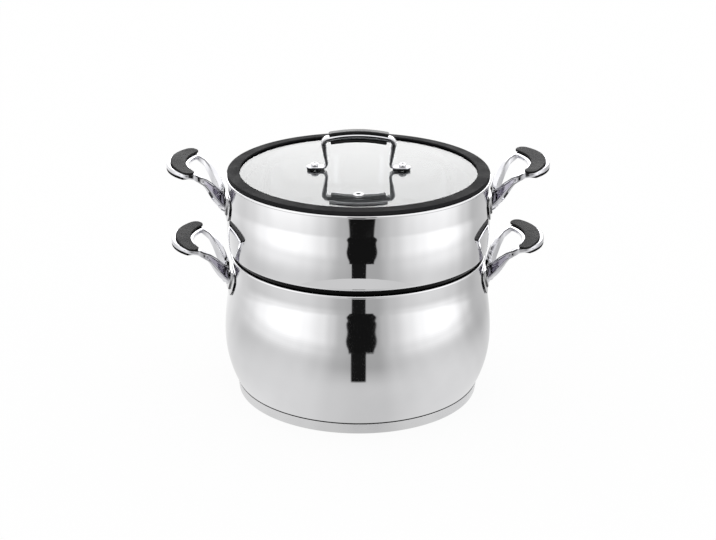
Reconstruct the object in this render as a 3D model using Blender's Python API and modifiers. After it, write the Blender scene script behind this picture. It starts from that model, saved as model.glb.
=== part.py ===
"""Two-tier stainless couscous steamer: belly pot, perforated steamer and rimmed glass lid.

Metres, +Z up. The origin is the middle of the underside. The handles lie along X.
"""

import math

import bmesh
import bpy
from mathutils import Matrix, Vector

# Sheet metal and fits
SHEET = 0.0008              # drawn stainless wall
CLEARANCE = 0.0003          # air between pieces that seat on each other
RIM_BEAD = 0.0030           # diameter of a rolled rim
CUT_OVERRUN = 0.0040        # how far a cutter runs past what it cuts
SEAM = 0.00001              # points nearer than this are one point

# Pot, heights above the table
POT_RIM_RADIUS = 0.1322
POT_RIM_HEIGHT = 0.1503
POT_NECK_DROP = 0.0134      # from the rim down to where the straight neck ends
POT_BELLY_BULGE = 0.0071    # how far the belly stands out beyond the rim
POT_BELLY_HEIGHT = 0.0640
POT_FOOT_TUCK = 0.0053      # how far the belly's foot lies inside the rim
BELLY_ROUND_SHARE = 0.79    # part of the rise from belly to neck that bulges outwards
FOOT_CORNER = 0.0015        # corner between the belly and the flat floor

# Encapsulated base
BASE_HEIGHT = 0.0111        # top edge of the steel capsule
BASE_STEP = 0.0001          # how far the capsule's edge stands outside the belly's foot
BASE_DRAFT = 0.0013         # how much narrower the capsule is at the table
BASE_SHEET = 0.0006
BASE_CORNER = 0.0012
BASE_LAP = 0.0002           # how far the capsule's edge stands above the pot's floor

# Steamer, rises above the pot's rim
STEAMER_OVERHANG = 0.0033   # how far its rim stands outside the pot's rim
STEAMER_RIM_RISE = 0.0830
STEAMER_NECK_DROP = 0.0210  # from its rim down to where the straight neck ends
STEAMER_BELLY_TUCK = 0.0004  # how far its belly lies inside its rim
STEAMER_BELLY_RISE = 0.0297
STEAMER_SHOULDER_TUCK = 0.0013
STEAMER_SHOULDER_RISE = 0.0112
STEAMER_SHADOW_GAP = 0.0051  # open height between the pot's rim and the steamer's underside
STEAMER_CORNER = 0.0035
PLUG_DEPTH = 0.0210         # how far the perforated floor hangs below the pot's rim
PLUG_TAPER = math.radians(15)
PLUG_FILLET = 0.0010
PLUG_CORNER = 0.0050

# Perforated floor
SIEVE_HOLE = 0.0050
SIEVE_PITCH = 0.0220
SIEVE_RINGS = 4
HOLES_PER_RING = 6

# Side handles, shared by both vessels
BRACKET_WIDTH = 0.0250
BRACKET_HEIGHT = 0.0270
BRACKET_PROUD = 0.0010      # how far the bracket's rim stands out round the foot
BRACKET_STANDOFF = 0.0033   # from the vessel's neck to the bracket's face
BRACKET_LEAST = 0.0006      # thickness left between the vessel's wall and the foot
BRACKET_SHIFT = 0.0022      # the bracket's middle lies this much below the foot's
FOOT_WIDTH = 0.0225
FOOT_HEIGHT = 0.0205
FOOT_THICKNESS = 0.0040
FOOT_EDGE = 0.0008
HANDLE_REACH = 0.0578       # from the bracket's face to the outer edge of the ring
HANDLE_RISE = 0.0402        # from the foot's middle to the ring's top face
RING_TILT = math.radians(6)
RING_THICKNESS = 0.0050
RING_LEDGE = 0.0037         # steel left outside the grip at the middle of the ring
RING_TIP_LAP = 0.0040       # silicone that overhangs the steel outside each tip
RING_INNER_LEDGE = 0.0033
ARM_WIDTH = 0.0070
ARM_FOOT_SPREAD = 0.0080    # from the middle to an arm's centre at the foot
ARM_FOOT_REACH = 0.0043     # from the foot's back to an arm's centre
WEB_DEPTH = 0.0184          # depth of an arm's blade at the foot
WEB_POCKET = 0.0014         # how deep the web is hollowed between its two ribs
POT_HANDLE_DROP = 0.0246    # rim to the middle of the foot
STEAMER_HANDLE_DROP = 0.0271

# Silicone grips, pushed through the slot in each ring
GRIP_ARC_RADIUS = 0.0640
GRIP_SPAN = 0.0880          # tip to tip
GRIP_WIDTH = 0.0157
GRIP_TIP_WIDTH = 0.0140
UNDER_SPAN = 0.0800
UNDER_WIDTH = 0.0140
UNDER_TIP_WIDTH = 0.0095
SLOT_SPAN = 0.0560
SLOT_WIDTH = 0.0070
GRIP_PROUD = 0.0023
GRIP_UNDER = 0.0020
GRIP_EDGE = 0.0008

# Handle screws
HANDLE_SCREW = 0.0040
HANDLE_SCREW_HEAD = 0.0072
HANDLE_SCREW_HEAD_HEIGHT = 0.0024
HANDLE_SCREW_BITE = 0.0012  # length of thread inside the bracket

# Lid
GLASS_SETBACK = 0.0045      # from the band's outer edge in to the glass's edge
GLASS_THICKNESS = 0.0040
GLASS_DOME = 0.0015
GLASS_EDGE = 0.0008
GLASS_SINK = 0.0023         # steamer rim to the glass's top edge
BAND_INSET = 0.0015         # how far the band's edge lies inside the steamer's rim
BAND_WIDTH = 0.0127
BAND_LIP = 0.0019           # silicone above the glass
BAND_FALL = 0.0008          # how far the band's top face slopes down outwards
BAND_EDGE = 0.0010
BAND_UNDER = 0.0018         # silicone below the glass
BAND_UNDER_REACH = 0.0060
COLLAR_PLAY = 0.0009        # band's collar to the steamer's wall
VENT_DISTANCE = 0.0803
VENT_BORE = 0.0045
VENT_TUBE = 0.0066
VENT_FLANGE = 0.0102
VENT_SHEET = 0.0008
LID_TURN = math.radians(-2.1)

# Lid handle
LID_HANDLE_HEIGHT = 0.0374  # foot's underside to the top of the bar
LID_HANDLE_DEPTH = 0.0100
LID_BAR_THICKNESS = 0.0058
LID_BAR_SAG = 0.0032        # the bar's middle stands this much above its ends
LID_BAR_HALF_LENGTH = 0.0310
LID_SHOULDER_HALF_WIDTH = 0.0362
LID_SHOULDER_DROP = 0.0072
LID_WAIST_HALF_WIDTH = 0.0318
LID_LEG_THICKNESS = 0.0038
LID_FOOT_HALF_WIDTH = 0.0530
LID_FOOT_THICKNESS = 0.0022
LID_BEND = 0.0050
LID_HANDLE_EDGE = 0.0008
LID_GRIP_HALF_LENGTH = 0.0305
LID_GRIP_THICKNESS = 0.0028
LID_GRIP_DEPTH = 0.0092
LID_GRIP_EDGE = 0.0007
LID_SLOT_HALF_LENGTH = 0.0240
LID_SLOT_DEPTH = 0.0044
LID_UNDER_HALF_LENGTH = 0.0285

# Lid fasteners
LID_SCREW_HALF_SPAN = 0.0447
LID_SCREW = 0.0040
LID_SCREW_HEAD = 0.0084
LID_SCREW_HEAD_HEIGHT = 0.0030
LID_WASHER = 0.0110         # seal below the glass
LID_WASHER_THICKNESS = 0.0008
LID_PAD_LENGTH = 0.0175     # pad between a foot and the glass
LID_PAD_INSET = 0.0005      # how far the pad's edges lie inside the foot's
LID_NUT = 0.0070
LID_NUT_HEIGHT = 0.0032
LID_SCREW_TAIL = 0.0010     # thread that shows below the nut

# Sizes that follow from the ones above
POT_BELLY_RADIUS = POT_RIM_RADIUS + POT_BELLY_BULGE
POT_FOOT_RADIUS = POT_RIM_RADIUS - POT_FOOT_TUCK
BASE_TOP_RADIUS = POT_FOOT_RADIUS + BASE_STEP
BASE_BOTTOM_RADIUS = BASE_TOP_RADIUS - BASE_DRAFT
STEAMER_RIM_RADIUS = POT_RIM_RADIUS + STEAMER_OVERHANG
STEAMER_RIM_HEIGHT = POT_RIM_HEIGHT + STEAMER_RIM_RISE
BAND_RADIUS = STEAMER_RIM_RADIUS - BAND_INSET
BAND_INNER_RADIUS = BAND_RADIUS - BAND_WIDTH
GLASS_RADIUS = BAND_RADIUS - GLASS_SETBACK

# Facet counts and angles
ROUND_STEPS = 32
SMALL_STEPS = 8
CORNER_STEPS = 2
PLATE_CORNER_STEPS = 3
ARC_STEPS = 3
RING_STEPS = 6
FLAT_ANGLE = math.radians(0.5)
SMOOTH_ANGLE = math.radians(35)
EDGE_ANGLE = math.radians(50)

# Corner radii of the upright plates, upper then lower pair, as shares of their width
PLATE_CORNER_SHARES = (0.20, 0.20, 0.45, 0.45)

# Places of a rib's edge and of the pocket's floor on an arm's side, as shares of its depth
RIB_SHARES = (0.17, 0.25, 0.75, 0.83)

# Shares of the arm from the ring's tip to the foot: distance, spread, top height, depth
ARM_SHARES = (
    (1.00, 1.00, 1.00, 0.00),
    (0.89, 1.01, 0.94, 0.00),
    (0.77, 1.00, 0.86, 0.02),
    (0.63, 0.96, 0.81, 0.20),
    (0.51, 0.87, 0.72, 0.40),
    (0.39, 0.75, 0.59, 0.60),
    (0.27, 0.58, 0.44, 0.78),
    (0.15, 0.36, 0.27, 0.92),
    (0.05, 0.14, 0.12, 0.98),
    (0.00, 0.00, 0.00, 1.00),
)

# Colour, roughness and metallic of each finish
FINISHES = {
    "steel": ((0.78, 0.78, 0.80), 0.08, 1.0),
    "cast_steel": ((0.74, 0.74, 0.77), 0.14, 1.0),
    "satin_steel": ((0.70, 0.70, 0.71), 0.32, 1.0),
    "aluminium": ((0.76, 0.77, 0.78), 0.40, 1.0),
    "silicone": ((0.035, 0.035, 0.037), 0.62, 0.0),
    "glass": ((0.90, 0.94, 0.93), 0.04, 0.0),
}

# Pieces that each lift carries, by the start of their names
CARRIED = {
    "steamer_lift": ("steamer_",),
    "lid_lift": ("lid_", "vent_"),
}

part_collection = bpy.data.collections.new("couscoussier")
cutter_collection = bpy.data.collections.new("couscoussier_cutters")


# Outline helpers, points are (radius, height)

def bow(start, end, steps):
    """Arc that leaves start straight up or down and finishes at end."""
    across = end[0] - start[0]
    along = end[1] - start[1]
    turn = 2 * math.atan2(abs(across), abs(along))
    radius = abs(along) / math.sin(turn)
    points = []
    for step in range(steps + 1):
        angle = turn * step / steps
        points.append((
            start[0] + math.copysign(radius * (1 - math.cos(angle)), across),
            start[1] + math.copysign(radius * math.sin(angle), along),
        ))
    return points


def ogee(upper, lower, lower_share, upper_steps, lower_steps):
    """Two arcs, upright at both ends, that meet with one tangent between upper and lower."""
    middle = (
        lower[0] + lower_share * (upper[0] - lower[0]),
        lower[1] + lower_share * (upper[1] - lower[1]),
    )
    first = bow(upper, middle, upper_steps)
    second = bow(lower, middle, lower_steps)
    return first + second[-2::-1]


def fillet(before, corner, after, radius, steps=CORNER_STEPS):
    """Arc of the radius that rounds a corner between two straight sides."""
    corner = Vector(corner)
    back = (Vector(before) - corner).normalized()
    ahead = (Vector(after) - corner).normalized()
    half_angle = back.angle(ahead) / 2
    centre = corner + (back + ahead).normalized() * (radius / math.sin(half_angle))
    reach = radius / math.tan(half_angle)
    start = corner + back * reach - centre
    end = corner + ahead * reach - centre
    turn = start.angle_signed(end)
    points = []
    for step in range(steps + 1):
        angle = turn * step / steps
        spoke = Matrix.Rotation(-angle, 2) @ start
        points.append(tuple(centre + spoke))
    return points


def offset(points, distance):
    """The same path moved to its right by distance, with mitred corners."""
    path = [Vector(point) for point in points]
    normals = []
    for first, second in zip(path, path[1:]):
        run = (second - first).normalized()
        normals.append(Vector((run.y, -run.x)))
    moved = []
    for index, point in enumerate(path):
        before = normals[max(index - 1, 0)]
        after = normals[min(index, len(normals) - 1)]
        mitre = (before + after).normalized()
        moved.append(tuple(point + mitre * (distance / mitre.dot(after))))
    return moved


def wall_radius(outline, height):
    """Outer radius of a vessel's wall at a height, read along its outline."""
    for (r0, z0), (r1, z1) in zip(outline, outline[1:]):
        if z1 <= height <= z0 and z0 > z1:
            return r0 + (r1 - r0) * (z0 - height) / (z0 - z1)
    return outline[0][0]


# Object helpers

def finish(name, kind):
    material = bpy.data.materials.new(f"{name}_finish")
    material.use_nodes = True
    colour, roughness, metallic = FINISHES[kind]
    shader = material.node_tree.nodes["Principled BSDF"]
    shader.inputs["Base Color"].default_value = (*colour, 1.0)
    shader.inputs["Roughness"].default_value = roughness
    shader.inputs["Metallic"].default_value = metallic
    return material


def keep(obj, name, kind):
    """Name a finished piece, give it its own material and put it in the part."""
    obj.name = name
    obj.data.name = name
    obj.data.materials.clear()
    obj.data.materials.append(finish(name, kind))
    part_collection.objects.link(obj)
    return obj


def as_cutter(obj):
    cutter_collection.objects.link(obj)
    obj.hide_render = True
    obj.display_type = "WIRE"
    return obj


def cut(target, cutter):
    """Leave a Boolean difference on target, with its cutter among the cutters."""
    boolean = target.modifiers.new("Cut", "BOOLEAN")
    boolean.operation = "DIFFERENCE"
    boolean.solver = "EXACT"
    boolean.object = as_cutter(cutter)
    return target


def shade_round(mesh):
    mesh.shade_smooth()
    mesh.set_sharp_from_angle(angle=SMOOTH_ANGLE)


def object_from(work, name):
    """New object that takes over a bmesh."""
    mesh = bpy.data.meshes.new(name)
    work.to_mesh(mesh)
    work.free()
    return bpy.data.objects.new(name, mesh)


def turned(name, profile, steps=ROUND_STEPS, closed=False):
    """Piece turned about Z from a profile that runs down its outer side."""
    count = len(profile)
    edges = [(i, i + 1) for i in range(count - 1)]
    if closed:
        edges.append((count - 1, 0))
    mesh = bpy.data.meshes.new(name)
    mesh.from_pydata([(r, 0, z) for r, z in profile], edges, [])
    obj = bpy.data.objects.new(name, mesh)
    screw = obj.modifiers.new("Turn", "SCREW")
    screw.axis = "Z"
    screw.angle = math.tau
    screw.steps = steps
    screw.render_steps = steps
    screw.use_merge_vertices = True
    screw.merge_threshold = SEAM
    return obj


def extruded(name, outline, thickness, edge=0.0):
    """Flat outline in XY given a thickness that is centred on Z."""
    curve = bpy.data.curves.new(name, "CURVE")
    curve.dimensions = "2D"
    curve.fill_mode = "BOTH"
    curve.extrude = thickness / 2
    spline = curve.splines.new("POLY")
    spline.points.add(len(outline) - 1)
    for point, (x, y) in zip(spline.points, outline):
        point.co = (x, y, 0, 1)
    spline.use_cyclic_u = True
    solid = baked(bpy.data.objects.new(name, curve))
    weld(solid.data)
    if edge:
        soften(solid, edge)
    return solid


def weld(mesh):
    """Close the seams of a mesh and merge its flat faces into single ones."""
    work = bmesh.new()
    work.from_mesh(mesh)
    bmesh.ops.remove_doubles(work, verts=work.verts, dist=SEAM)
    bmesh.ops.dissolve_limit(work, angle_limit=FLAT_ANGLE, verts=work.verts, edges=work.edges)
    bmesh.ops.recalc_face_normals(work, faces=work.faces)
    work.to_mesh(mesh)
    work.free()


def soften(obj, width):
    """Narrow flat along every sharp edge."""
    bevel = obj.modifiers.new("Edges", "BEVEL")
    bevel.width = width
    bevel.segments = 1
    bevel.limit_method = "ANGLE"
    bevel.angle_limit = EDGE_ANGLE


def baked(obj):
    """Plain object with the mesh that obj has after its modifiers; obj is removed."""
    if not obj.users_collection:
        bpy.context.scene.collection.objects.link(obj)
    bpy.context.view_layer.update()
    depsgraph = bpy.context.evaluated_depsgraph_get()
    mesh = bpy.data.meshes.new_from_object(obj.evaluated_get(depsgraph))
    result = bpy.data.objects.new(obj.name, mesh)
    bpy.data.objects.remove(obj)
    return result


def combined(target, operation, other):
    """Carry out a Boolean on target with other, and return a new object with the result."""
    as_cutter(other)
    boolean = target.modifiers.new(operation.title(), "BOOLEAN")
    boolean.operation = operation
    boolean.solver = "EXACT"
    boolean.object = other
    result = baked(target)
    bpy.data.objects.remove(other)
    return result


def moved(obj, matrix):
    obj.data.transform(matrix)
    return obj


def add_cylinder(work, diameter, depth, place, steps=SMALL_STEPS):
    """Cylinder centred on a placement, its axis along that placement's Z."""
    bmesh.ops.create_cone(
        work,
        cap_ends=True,
        segments=steps,
        radius1=diameter / 2,
        radius2=diameter / 2,
        depth=depth,
        matrix=place,
    )


# Vessels

def rim(rim_radius, rim_top):
    """Rolled bead, from the wall's inner side over the top to the wall's outer side."""
    half = RIM_BEAD / 2
    centre = (rim_radius - half, rim_top - half)
    tuck = -math.acos((SHEET - half) / half)
    angles = [math.pi, 3 * math.pi / 4, math.pi / 2, math.pi / 4, 0, tuck / 2, tuck]
    return [
        (centre[0] + half * math.cos(angle), centre[1] + half * math.sin(angle))
        for angle in angles
    ]


def vessel(name, outline, bead):
    """Vessel of one sheet thickness whose outline runs from its rim to its floor's middle."""
    outer = [bead[-1]] + outline
    inner = offset(outer, SHEET)
    return turned(name, inner[:0:-1] + bead + outline)


def pot_outline():
    """Outside of the pot from the neck to the floor's middle."""
    neck = POT_RIM_RADIUS - RIM_BEAD + SHEET
    floor = BASE_HEIGHT - BASE_LAP
    belly = (POT_BELLY_RADIUS, POT_BELLY_HEIGHT)
    foot = (POT_FOOT_RADIUS, floor + FOOT_CORNER)
    neck_end = (neck, POT_RIM_HEIGHT - POT_NECK_DROP)
    points = ogee(neck_end, belly, BELLY_ROUND_SHARE, 2, ARC_STEPS)
    points += bow(belly, foot, ARC_STEPS)[1:]
    points.append((POT_FOOT_RADIUS - FOOT_CORNER, floor))
    points.append((0, floor))
    return points


def seat_on_pot(height):
    """Radius of the steamer's tapered plug at a height, clear of the pot's rolled rim."""
    half = RIM_BEAD / 2
    spacing = half + CLEARANCE
    contact_radius = POT_RIM_RADIUS - half - spacing * math.cos(PLUG_TAPER)
    contact_height = POT_RIM_HEIGHT - half + spacing * math.sin(PLUG_TAPER)
    return contact_radius + (height - contact_height) * math.tan(PLUG_TAPER)


def steamer_outline():
    """Outside of the steamer from the neck to the floor's middle."""
    neck = (STEAMER_RIM_RADIUS - RIM_BEAD + SHEET, STEAMER_RIM_HEIGHT - STEAMER_NECK_DROP)
    belly = (STEAMER_RIM_RADIUS - STEAMER_BELLY_TUCK, POT_RIM_HEIGHT + STEAMER_BELLY_RISE)
    shoulder = (
        STEAMER_RIM_RADIUS - STEAMER_SHOULDER_TUCK, POT_RIM_HEIGHT + STEAMER_SHOULDER_RISE)
    underside = POT_RIM_HEIGHT + STEAMER_SHADOW_GAP
    floor = POT_RIM_HEIGHT - PLUG_DEPTH
    lean = 2 * math.atan2(belly[0] - shoulder[0], belly[1] - shoulder[1])
    corner = (shoulder[0] - (shoulder[1] - underside) * math.tan(lean), underside)
    plug_top = (seat_on_pot(underside), underside)
    plug_foot = (seat_on_pot(floor), floor)
    points = ogee(neck, belly, BELLY_ROUND_SHARE, 1, 2)
    points += bow(belly, shoulder, 2)[1:-1]
    points += fillet(belly, corner, plug_top, STEAMER_CORNER)
    points += fillet(corner, plug_top, plug_foot, PLUG_FILLET, 2)
    points += fillet(plug_top, plug_foot, (0, floor), PLUG_CORNER)
    points.append((0, floor))
    return points


def sieve_holes():
    """Hexagonal punches on rings about the middle of the perforated floor."""
    punches = bmesh.new()
    middle = POT_RIM_HEIGHT - PLUG_DEPTH + SHEET / 2
    depth = SHEET + 2 * CUT_OVERRUN
    add_cylinder(punches, SIEVE_HOLE, depth, Matrix.Translation((0, 0, middle)), 6)
    for ring in range(1, SIEVE_RINGS + 1):
        count = HOLES_PER_RING * ring
        for hole in range(count):
            turn = Matrix.Rotation(math.tau * (hole + 0.5) / count, 4, "Z")
            place = turn @ Matrix.Translation((SIEVE_PITCH * ring, 0, middle))
            add_cylinder(punches, SIEVE_HOLE, depth, place, 6)
    return object_from(punches, "sieve_holes")


def build_pot_body():
    body = vessel("pot_body", pot_outline(), rim(POT_RIM_RADIUS, POT_RIM_HEIGHT))
    keep(body, "pot_body", "steel")


def build_steamer_body():
    bead = rim(STEAMER_RIM_RADIUS, STEAMER_RIM_HEIGHT)
    body = baked(vessel("steamer_body", steamer_outline(), bead))
    weld(body.data)
    shade_round(body.data)
    keep(cut(body, sieve_holes()), "steamer_body", "steel")


def build_base():
    """Steel capsule pressed over an aluminium disc under the pot's floor."""
    corner = fillet(
        (BASE_TOP_RADIUS, BASE_HEIGHT), (BASE_BOTTOM_RADIUS, 0), (0, 0), BASE_CORNER)
    outer = [(BASE_TOP_RADIUS, BASE_HEIGHT)] + corner + [(0, 0)]
    inner = offset(outer, BASE_SHEET)
    keep(turned("base_capsule", inner[::-1] + outer), "base_capsule", "satin_steel")

    low = BASE_SHEET + CLEARANCE
    high = BASE_HEIGHT - BASE_LAP - CLEARANCE
    radius = inner[-2][0]
    side = BASE_BOTTOM_RADIUS - BASE_SHEET - CLEARANCE
    profile = [(0, high), (side, high), (side, low + BASE_CORNER), (radius, low), (0, low)]
    keep(turned("base_core", profile), "base_core", "aluminium")


# Side handles. Their own frame has X away from the wall, and starts at the bracket's face.

def crescent_sides(span, width, tip_width, steps):
    """Crescent in plan, as pairs of outer and inner points from one tip to the other."""
    half_angle = math.asin((span - tip_width) / 2 / GRIP_ARC_RADIUS)
    middle = HANDLE_REACH - RING_LEDGE - GRIP_WIDTH / 2
    centre = middle - GRIP_ARC_RADIUS
    pairs = []
    for step in range(steps + 1):
        share = 2 * step / steps - 1
        angle = half_angle * share
        half_width = (tip_width + (width - tip_width) * (1 - share * share)) / 2
        outer = GRIP_ARC_RADIUS + half_width
        inner = GRIP_ARC_RADIUS - half_width
        pairs.append((
            (centre + outer * math.cos(angle), outer * math.sin(angle)),
            (centre + inner * math.cos(angle), inner * math.sin(angle)),
        ))
    return pairs


def crescent(span, width, tip_width, steps=6, tip_steps=3):
    """Closed outline of a crescent with round tips."""
    pairs = crescent_sides(span, width, tip_width, steps)
    outline = [outer for outer, _ in pairs]
    outline += tip_arc(*pairs[-1], tip_steps)
    outline += [inner for _, inner in reversed(pairs)]
    outline += tip_arc(pairs[0][1], pairs[0][0], tip_steps)
    return outline


def grip_crescent():
    return crescent(GRIP_SPAN, GRIP_WIDTH, GRIP_TIP_WIDTH)


def under_crescent():
    return crescent(UNDER_SPAN, UNDER_WIDTH, UNDER_TIP_WIDTH)


def slot_crescent(grow):
    width = SLOT_WIDTH + 2 * grow
    return crescent(SLOT_SPAN + 2 * grow, width, width, 4, 2)


def tip_arc(start, end, steps):
    """Points of the half circle on a crescent's end, between its two corners."""
    centre = (Vector(start) + Vector(end)) / 2
    spoke = Vector(start) - centre
    points = []
    for step in range(1, steps):
        angle = math.pi * step / steps
        points.append(tuple(centre + Matrix.Rotation(angle, 2) @ spoke))
    return points


def ring_frame():
    """Frame of the ring's top face, which climbs outwards by the ring's tilt."""
    middle = HANDLE_REACH - RING_LEDGE - GRIP_WIDTH / 2
    place = Matrix.Translation((middle, 0, HANDLE_RISE))
    return place @ Matrix.Rotation(-RING_TILT, 4, "Y") @ Matrix.Translation((-middle, 0, 0))


def ring_stations():
    """Top edges of the ring's half from its middle to the tip, in order round the arc."""
    frame = ring_frame()
    stations = []
    pairs = crescent_sides(GRIP_SPAN, GRIP_WIDTH, GRIP_TIP_WIDTH, RING_STEPS)[RING_STEPS // 2:]
    for index, (outer, inner) in enumerate(pairs):
        share = index / (len(pairs) - 1)
        outwards = (Vector(outer) - Vector(inner)).normalized()
        ledge = RING_LEDGE - (RING_LEDGE + RING_TIP_LAP) * share ** 3
        outer = Vector(outer) + outwards * ledge
        inner = Vector(inner) - outwards * RING_INNER_LEDGE
        top_edges = (frame @ Vector((*outer, 0)), frame @ Vector((*inner, 0)))
        stations.append((*top_edges, RING_THICKNESS, 0))
    return stations


def arm_stations(tip):
    """Top edges, depth and pocket of one arm's blade, from the ring's tip down to the foot."""
    foot = Vector((ARM_FOOT_REACH, ARM_FOOT_SPREAD, FOOT_HEIGHT / 2))
    outwards = (tip[0] - tip[1]).normalized()
    run = tip[1] + outwards * ARM_WIDTH / 2 - foot
    centres = [
        foot + Vector((run.x * along, run.y * spread, run.z * height))
        for along, spread, height, _ in ARM_SHARES
    ]
    stations = []
    for index, centre in enumerate(centres):
        before = centres[max(index - 1, 0)]
        after = centres[min(index + 1, len(centres) - 1)]
        path = before - after
        across = Vector((-path.y, path.x, 0)).normalized() * ARM_WIDTH / 2
        growth = ARM_SHARES[index][3]
        depth = RING_THICKNESS + (WEB_DEPTH - RING_THICKNESS) * growth
        stations.append((centre + across, centre - across, depth, WEB_POCKET * growth))
    return stations


def blade_section(outer, inner, depth, pocket, down):
    """Section of the casting: chamfered edges, and a pocket between two ribs on the outer side."""
    edge = FOOT_EDGE
    across = (outer - inner).normalized()
    floor = outer - across * pocket
    rib_low, floor_high, floor_low, rib_high = RIB_SHARES
    return (
        outer - across * edge,
        outer + down * edge,
        outer + down * depth * rib_low,
        floor + down * depth * floor_high,
        floor + down * depth * floor_low,
        outer + down * depth * rib_high,
        outer + down * (depth - edge) - across * edge,
        outer + down * depth - across * 2 * edge,
        inner + down * depth + across * 2 * edge,
        inner + down * (depth - edge) + across * edge,
        inner + down * edge,
        inner + across * edge,
    )


def wishbone_half():
    """Half of the casting, lofted through its stations, closed at the foot and mirrored."""
    square = ring_frame().to_3x3() @ Vector((0, 0, -1))
    work = bmesh.new()
    loops = []
    ring = ring_stations()
    stations = [(*station, square) for station in ring]
    stations += [(*station, Vector((0, 0, -1))) for station in arm_stations(ring[-1])]
    for station in stations:
        loops.append([work.verts.new(point) for point in blade_section(*station)])
    for first, second in zip(loops, loops[1:]):
        for index in range(len(first)):
            after = (index + 1) % len(first)
            work.faces.new((first[index], second[index], second[after], first[after]))
    work.faces.new(loops[-1])
    bmesh.ops.recalc_face_normals(work, faces=work.faces)
    half = object_from(work, "wishbone")
    mirror = half.modifiers.new("Halves", "MIRROR")
    mirror.use_axis = (False, True, False)
    mirror.merge_threshold = SEAM
    return half


def rounded_plate(name, width, height, thickness, edge):
    """Upright plate with round upper and lower corners, its back on the plane X = 0."""
    half_width = width / 2
    half_height = height / 2
    corners = (
        (half_width, half_height),
        (-half_width, half_height),
        (-half_width, -half_height),
        (half_width, -half_height),
    )
    outline = []
    for index, corner in enumerate(corners):
        before = corners[index - 1]
        after = corners[(index + 1) % len(corners)]
        radius = width * PLATE_CORNER_SHARES[index]
        outline += fillet(before, corner, after, radius, PLATE_CORNER_STEPS)
    plate = extruded(name, outline, thickness, edge)
    stand_up = Matrix(((0, 0, 1, 0), (1, 0, 0, 0), (0, 1, 0, 0), (0, 0, 0, 1)))
    return moved(plate, Matrix.Translation((thickness / 2, 0, 0)) @ stand_up)


def bore_along_x(diameter, start, end, height=0.0):
    """Cutter for a round hole along X."""
    work = bmesh.new()
    middle = Matrix.Translation(((start + end) / 2, 0, height))
    lie_down = Matrix.Rotation(math.radians(90), 4, "Y")
    add_cylinder(work, diameter, end - start, middle @ lie_down)
    return object_from(work, "bore")


def wishbone_mesh():
    """Cast handle: two arms from the foot to a slotted ring."""
    foot = rounded_plate("foot", FOOT_WIDTH, FOOT_HEIGHT, FOOT_THICKNESS, FOOT_EDGE)
    handle = combined(wishbone_half(), "UNION", foot)
    slot = extruded("slot", slot_crescent(CLEARANCE), RING_THICKNESS * 4)
    handle = combined(handle, "DIFFERENCE", moved(slot, ring_frame()))
    bore = bore_along_x(HANDLE_SCREW + 2 * CLEARANCE, -CUT_OVERRUN, FOOT_THICKNESS + CUT_OVERRUN)
    handle = combined(handle, "DIFFERENCE", bore)
    handle = moved(handle, Matrix.Translation((CLEARANCE, 0, 0)))
    shade_round(handle.data)
    return handle.data


def grip_mesh():
    """Silicone crescent above the ring, its neck in the slot and its lip below the ring."""
    top = extruded("top", grip_crescent(), GRIP_PROUD, GRIP_EDGE)
    top = moved(top, Matrix.Translation((0, 0, CLEARANCE + GRIP_PROUD / 2)))
    under = extruded("under", under_crescent(), GRIP_UNDER, GRIP_EDGE)
    below = RING_THICKNESS + CLEARANCE + GRIP_UNDER / 2
    under = moved(under, Matrix.Translation((0, 0, -below)))
    high = CLEARANCE + GRIP_PROUD / 2
    neck = extruded("neck", slot_crescent(0), high + below)
    neck = moved(neck, Matrix.Translation((0, 0, (high - below) / 2)))
    grip = combined(combined(top, "UNION", neck), "UNION", under)
    moved(grip, Matrix.Translation((CLEARANCE, 0, 0)) @ ring_frame())
    shade_round(grip.data)
    return grip.data


def wall_solid(outline, high, low):
    """Solid whose skin stands clear of the vessel's wall, from high to below low."""
    last = next(index for index, point in enumerate(outline) if point[1] < low)
    skin = offset([(outline[0][0], high)] + outline[:last + 1], -CLEARANCE)
    return turned("wall", [(0, high)] + skin + [(0, skin[-1][1])])


def bracket_mesh(outline, face, height):
    """Weld pad formed to the vessel's wall, with a flat seat for the foot and a screw bore."""
    middle = height - BRACKET_SHIFT
    wall = wall_solid(outline, middle + BRACKET_HEIGHT, middle - BRACKET_HEIGHT)
    block = rounded_plate("bracket", BRACKET_WIDTH, BRACKET_HEIGHT, BRACKET_WIDTH, 0)
    back = face + BRACKET_PROUD - BRACKET_WIDTH
    pad = combined(moved(block, Matrix.Translation((back, 0, middle))), "DIFFERENCE", wall)
    seat = rounded_plate(
        "seat", FOOT_WIDTH + 2 * CLEARANCE, FOOT_HEIGHT + 2 * CLEARANCE, CUT_OVERRUN, 0)
    pad = combined(pad, "DIFFERENCE", moved(seat, Matrix.Translation((face, 0, height))))
    bore = bore_along_x(HANDLE_SCREW + 2 * CLEARANCE, 0, face + CUT_OVERRUN, height)
    pad = combined(pad, "DIFFERENCE", bore)
    shade_round(pad.data)
    return pad.data


def handle_screw_mesh():
    """Pan-head screw through the foot into the bracket, turned and laid along X."""
    head = HANDLE_SCREW_HEAD / 2
    shank = HANDLE_SCREW / 2
    seat = FOOT_THICKNESS + 2 * CLEARANCE
    top = seat + HANDLE_SCREW_HEAD_HEIGHT
    tail = -HANDLE_SCREW_BITE
    crown = bow((head, seat + HANDLE_SCREW_HEAD_HEIGHT / 3), (head / 3, top), ARC_STEPS)
    profile = [(0, top)] + crown[::-1] + [(head, seat), (shank, seat), (shank, tail), (0, tail)]
    screw = baked(turned("screw", profile, SMALL_STEPS))
    return moved(screw, Matrix.Rotation(math.radians(90), 4, "Y")).data


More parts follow.
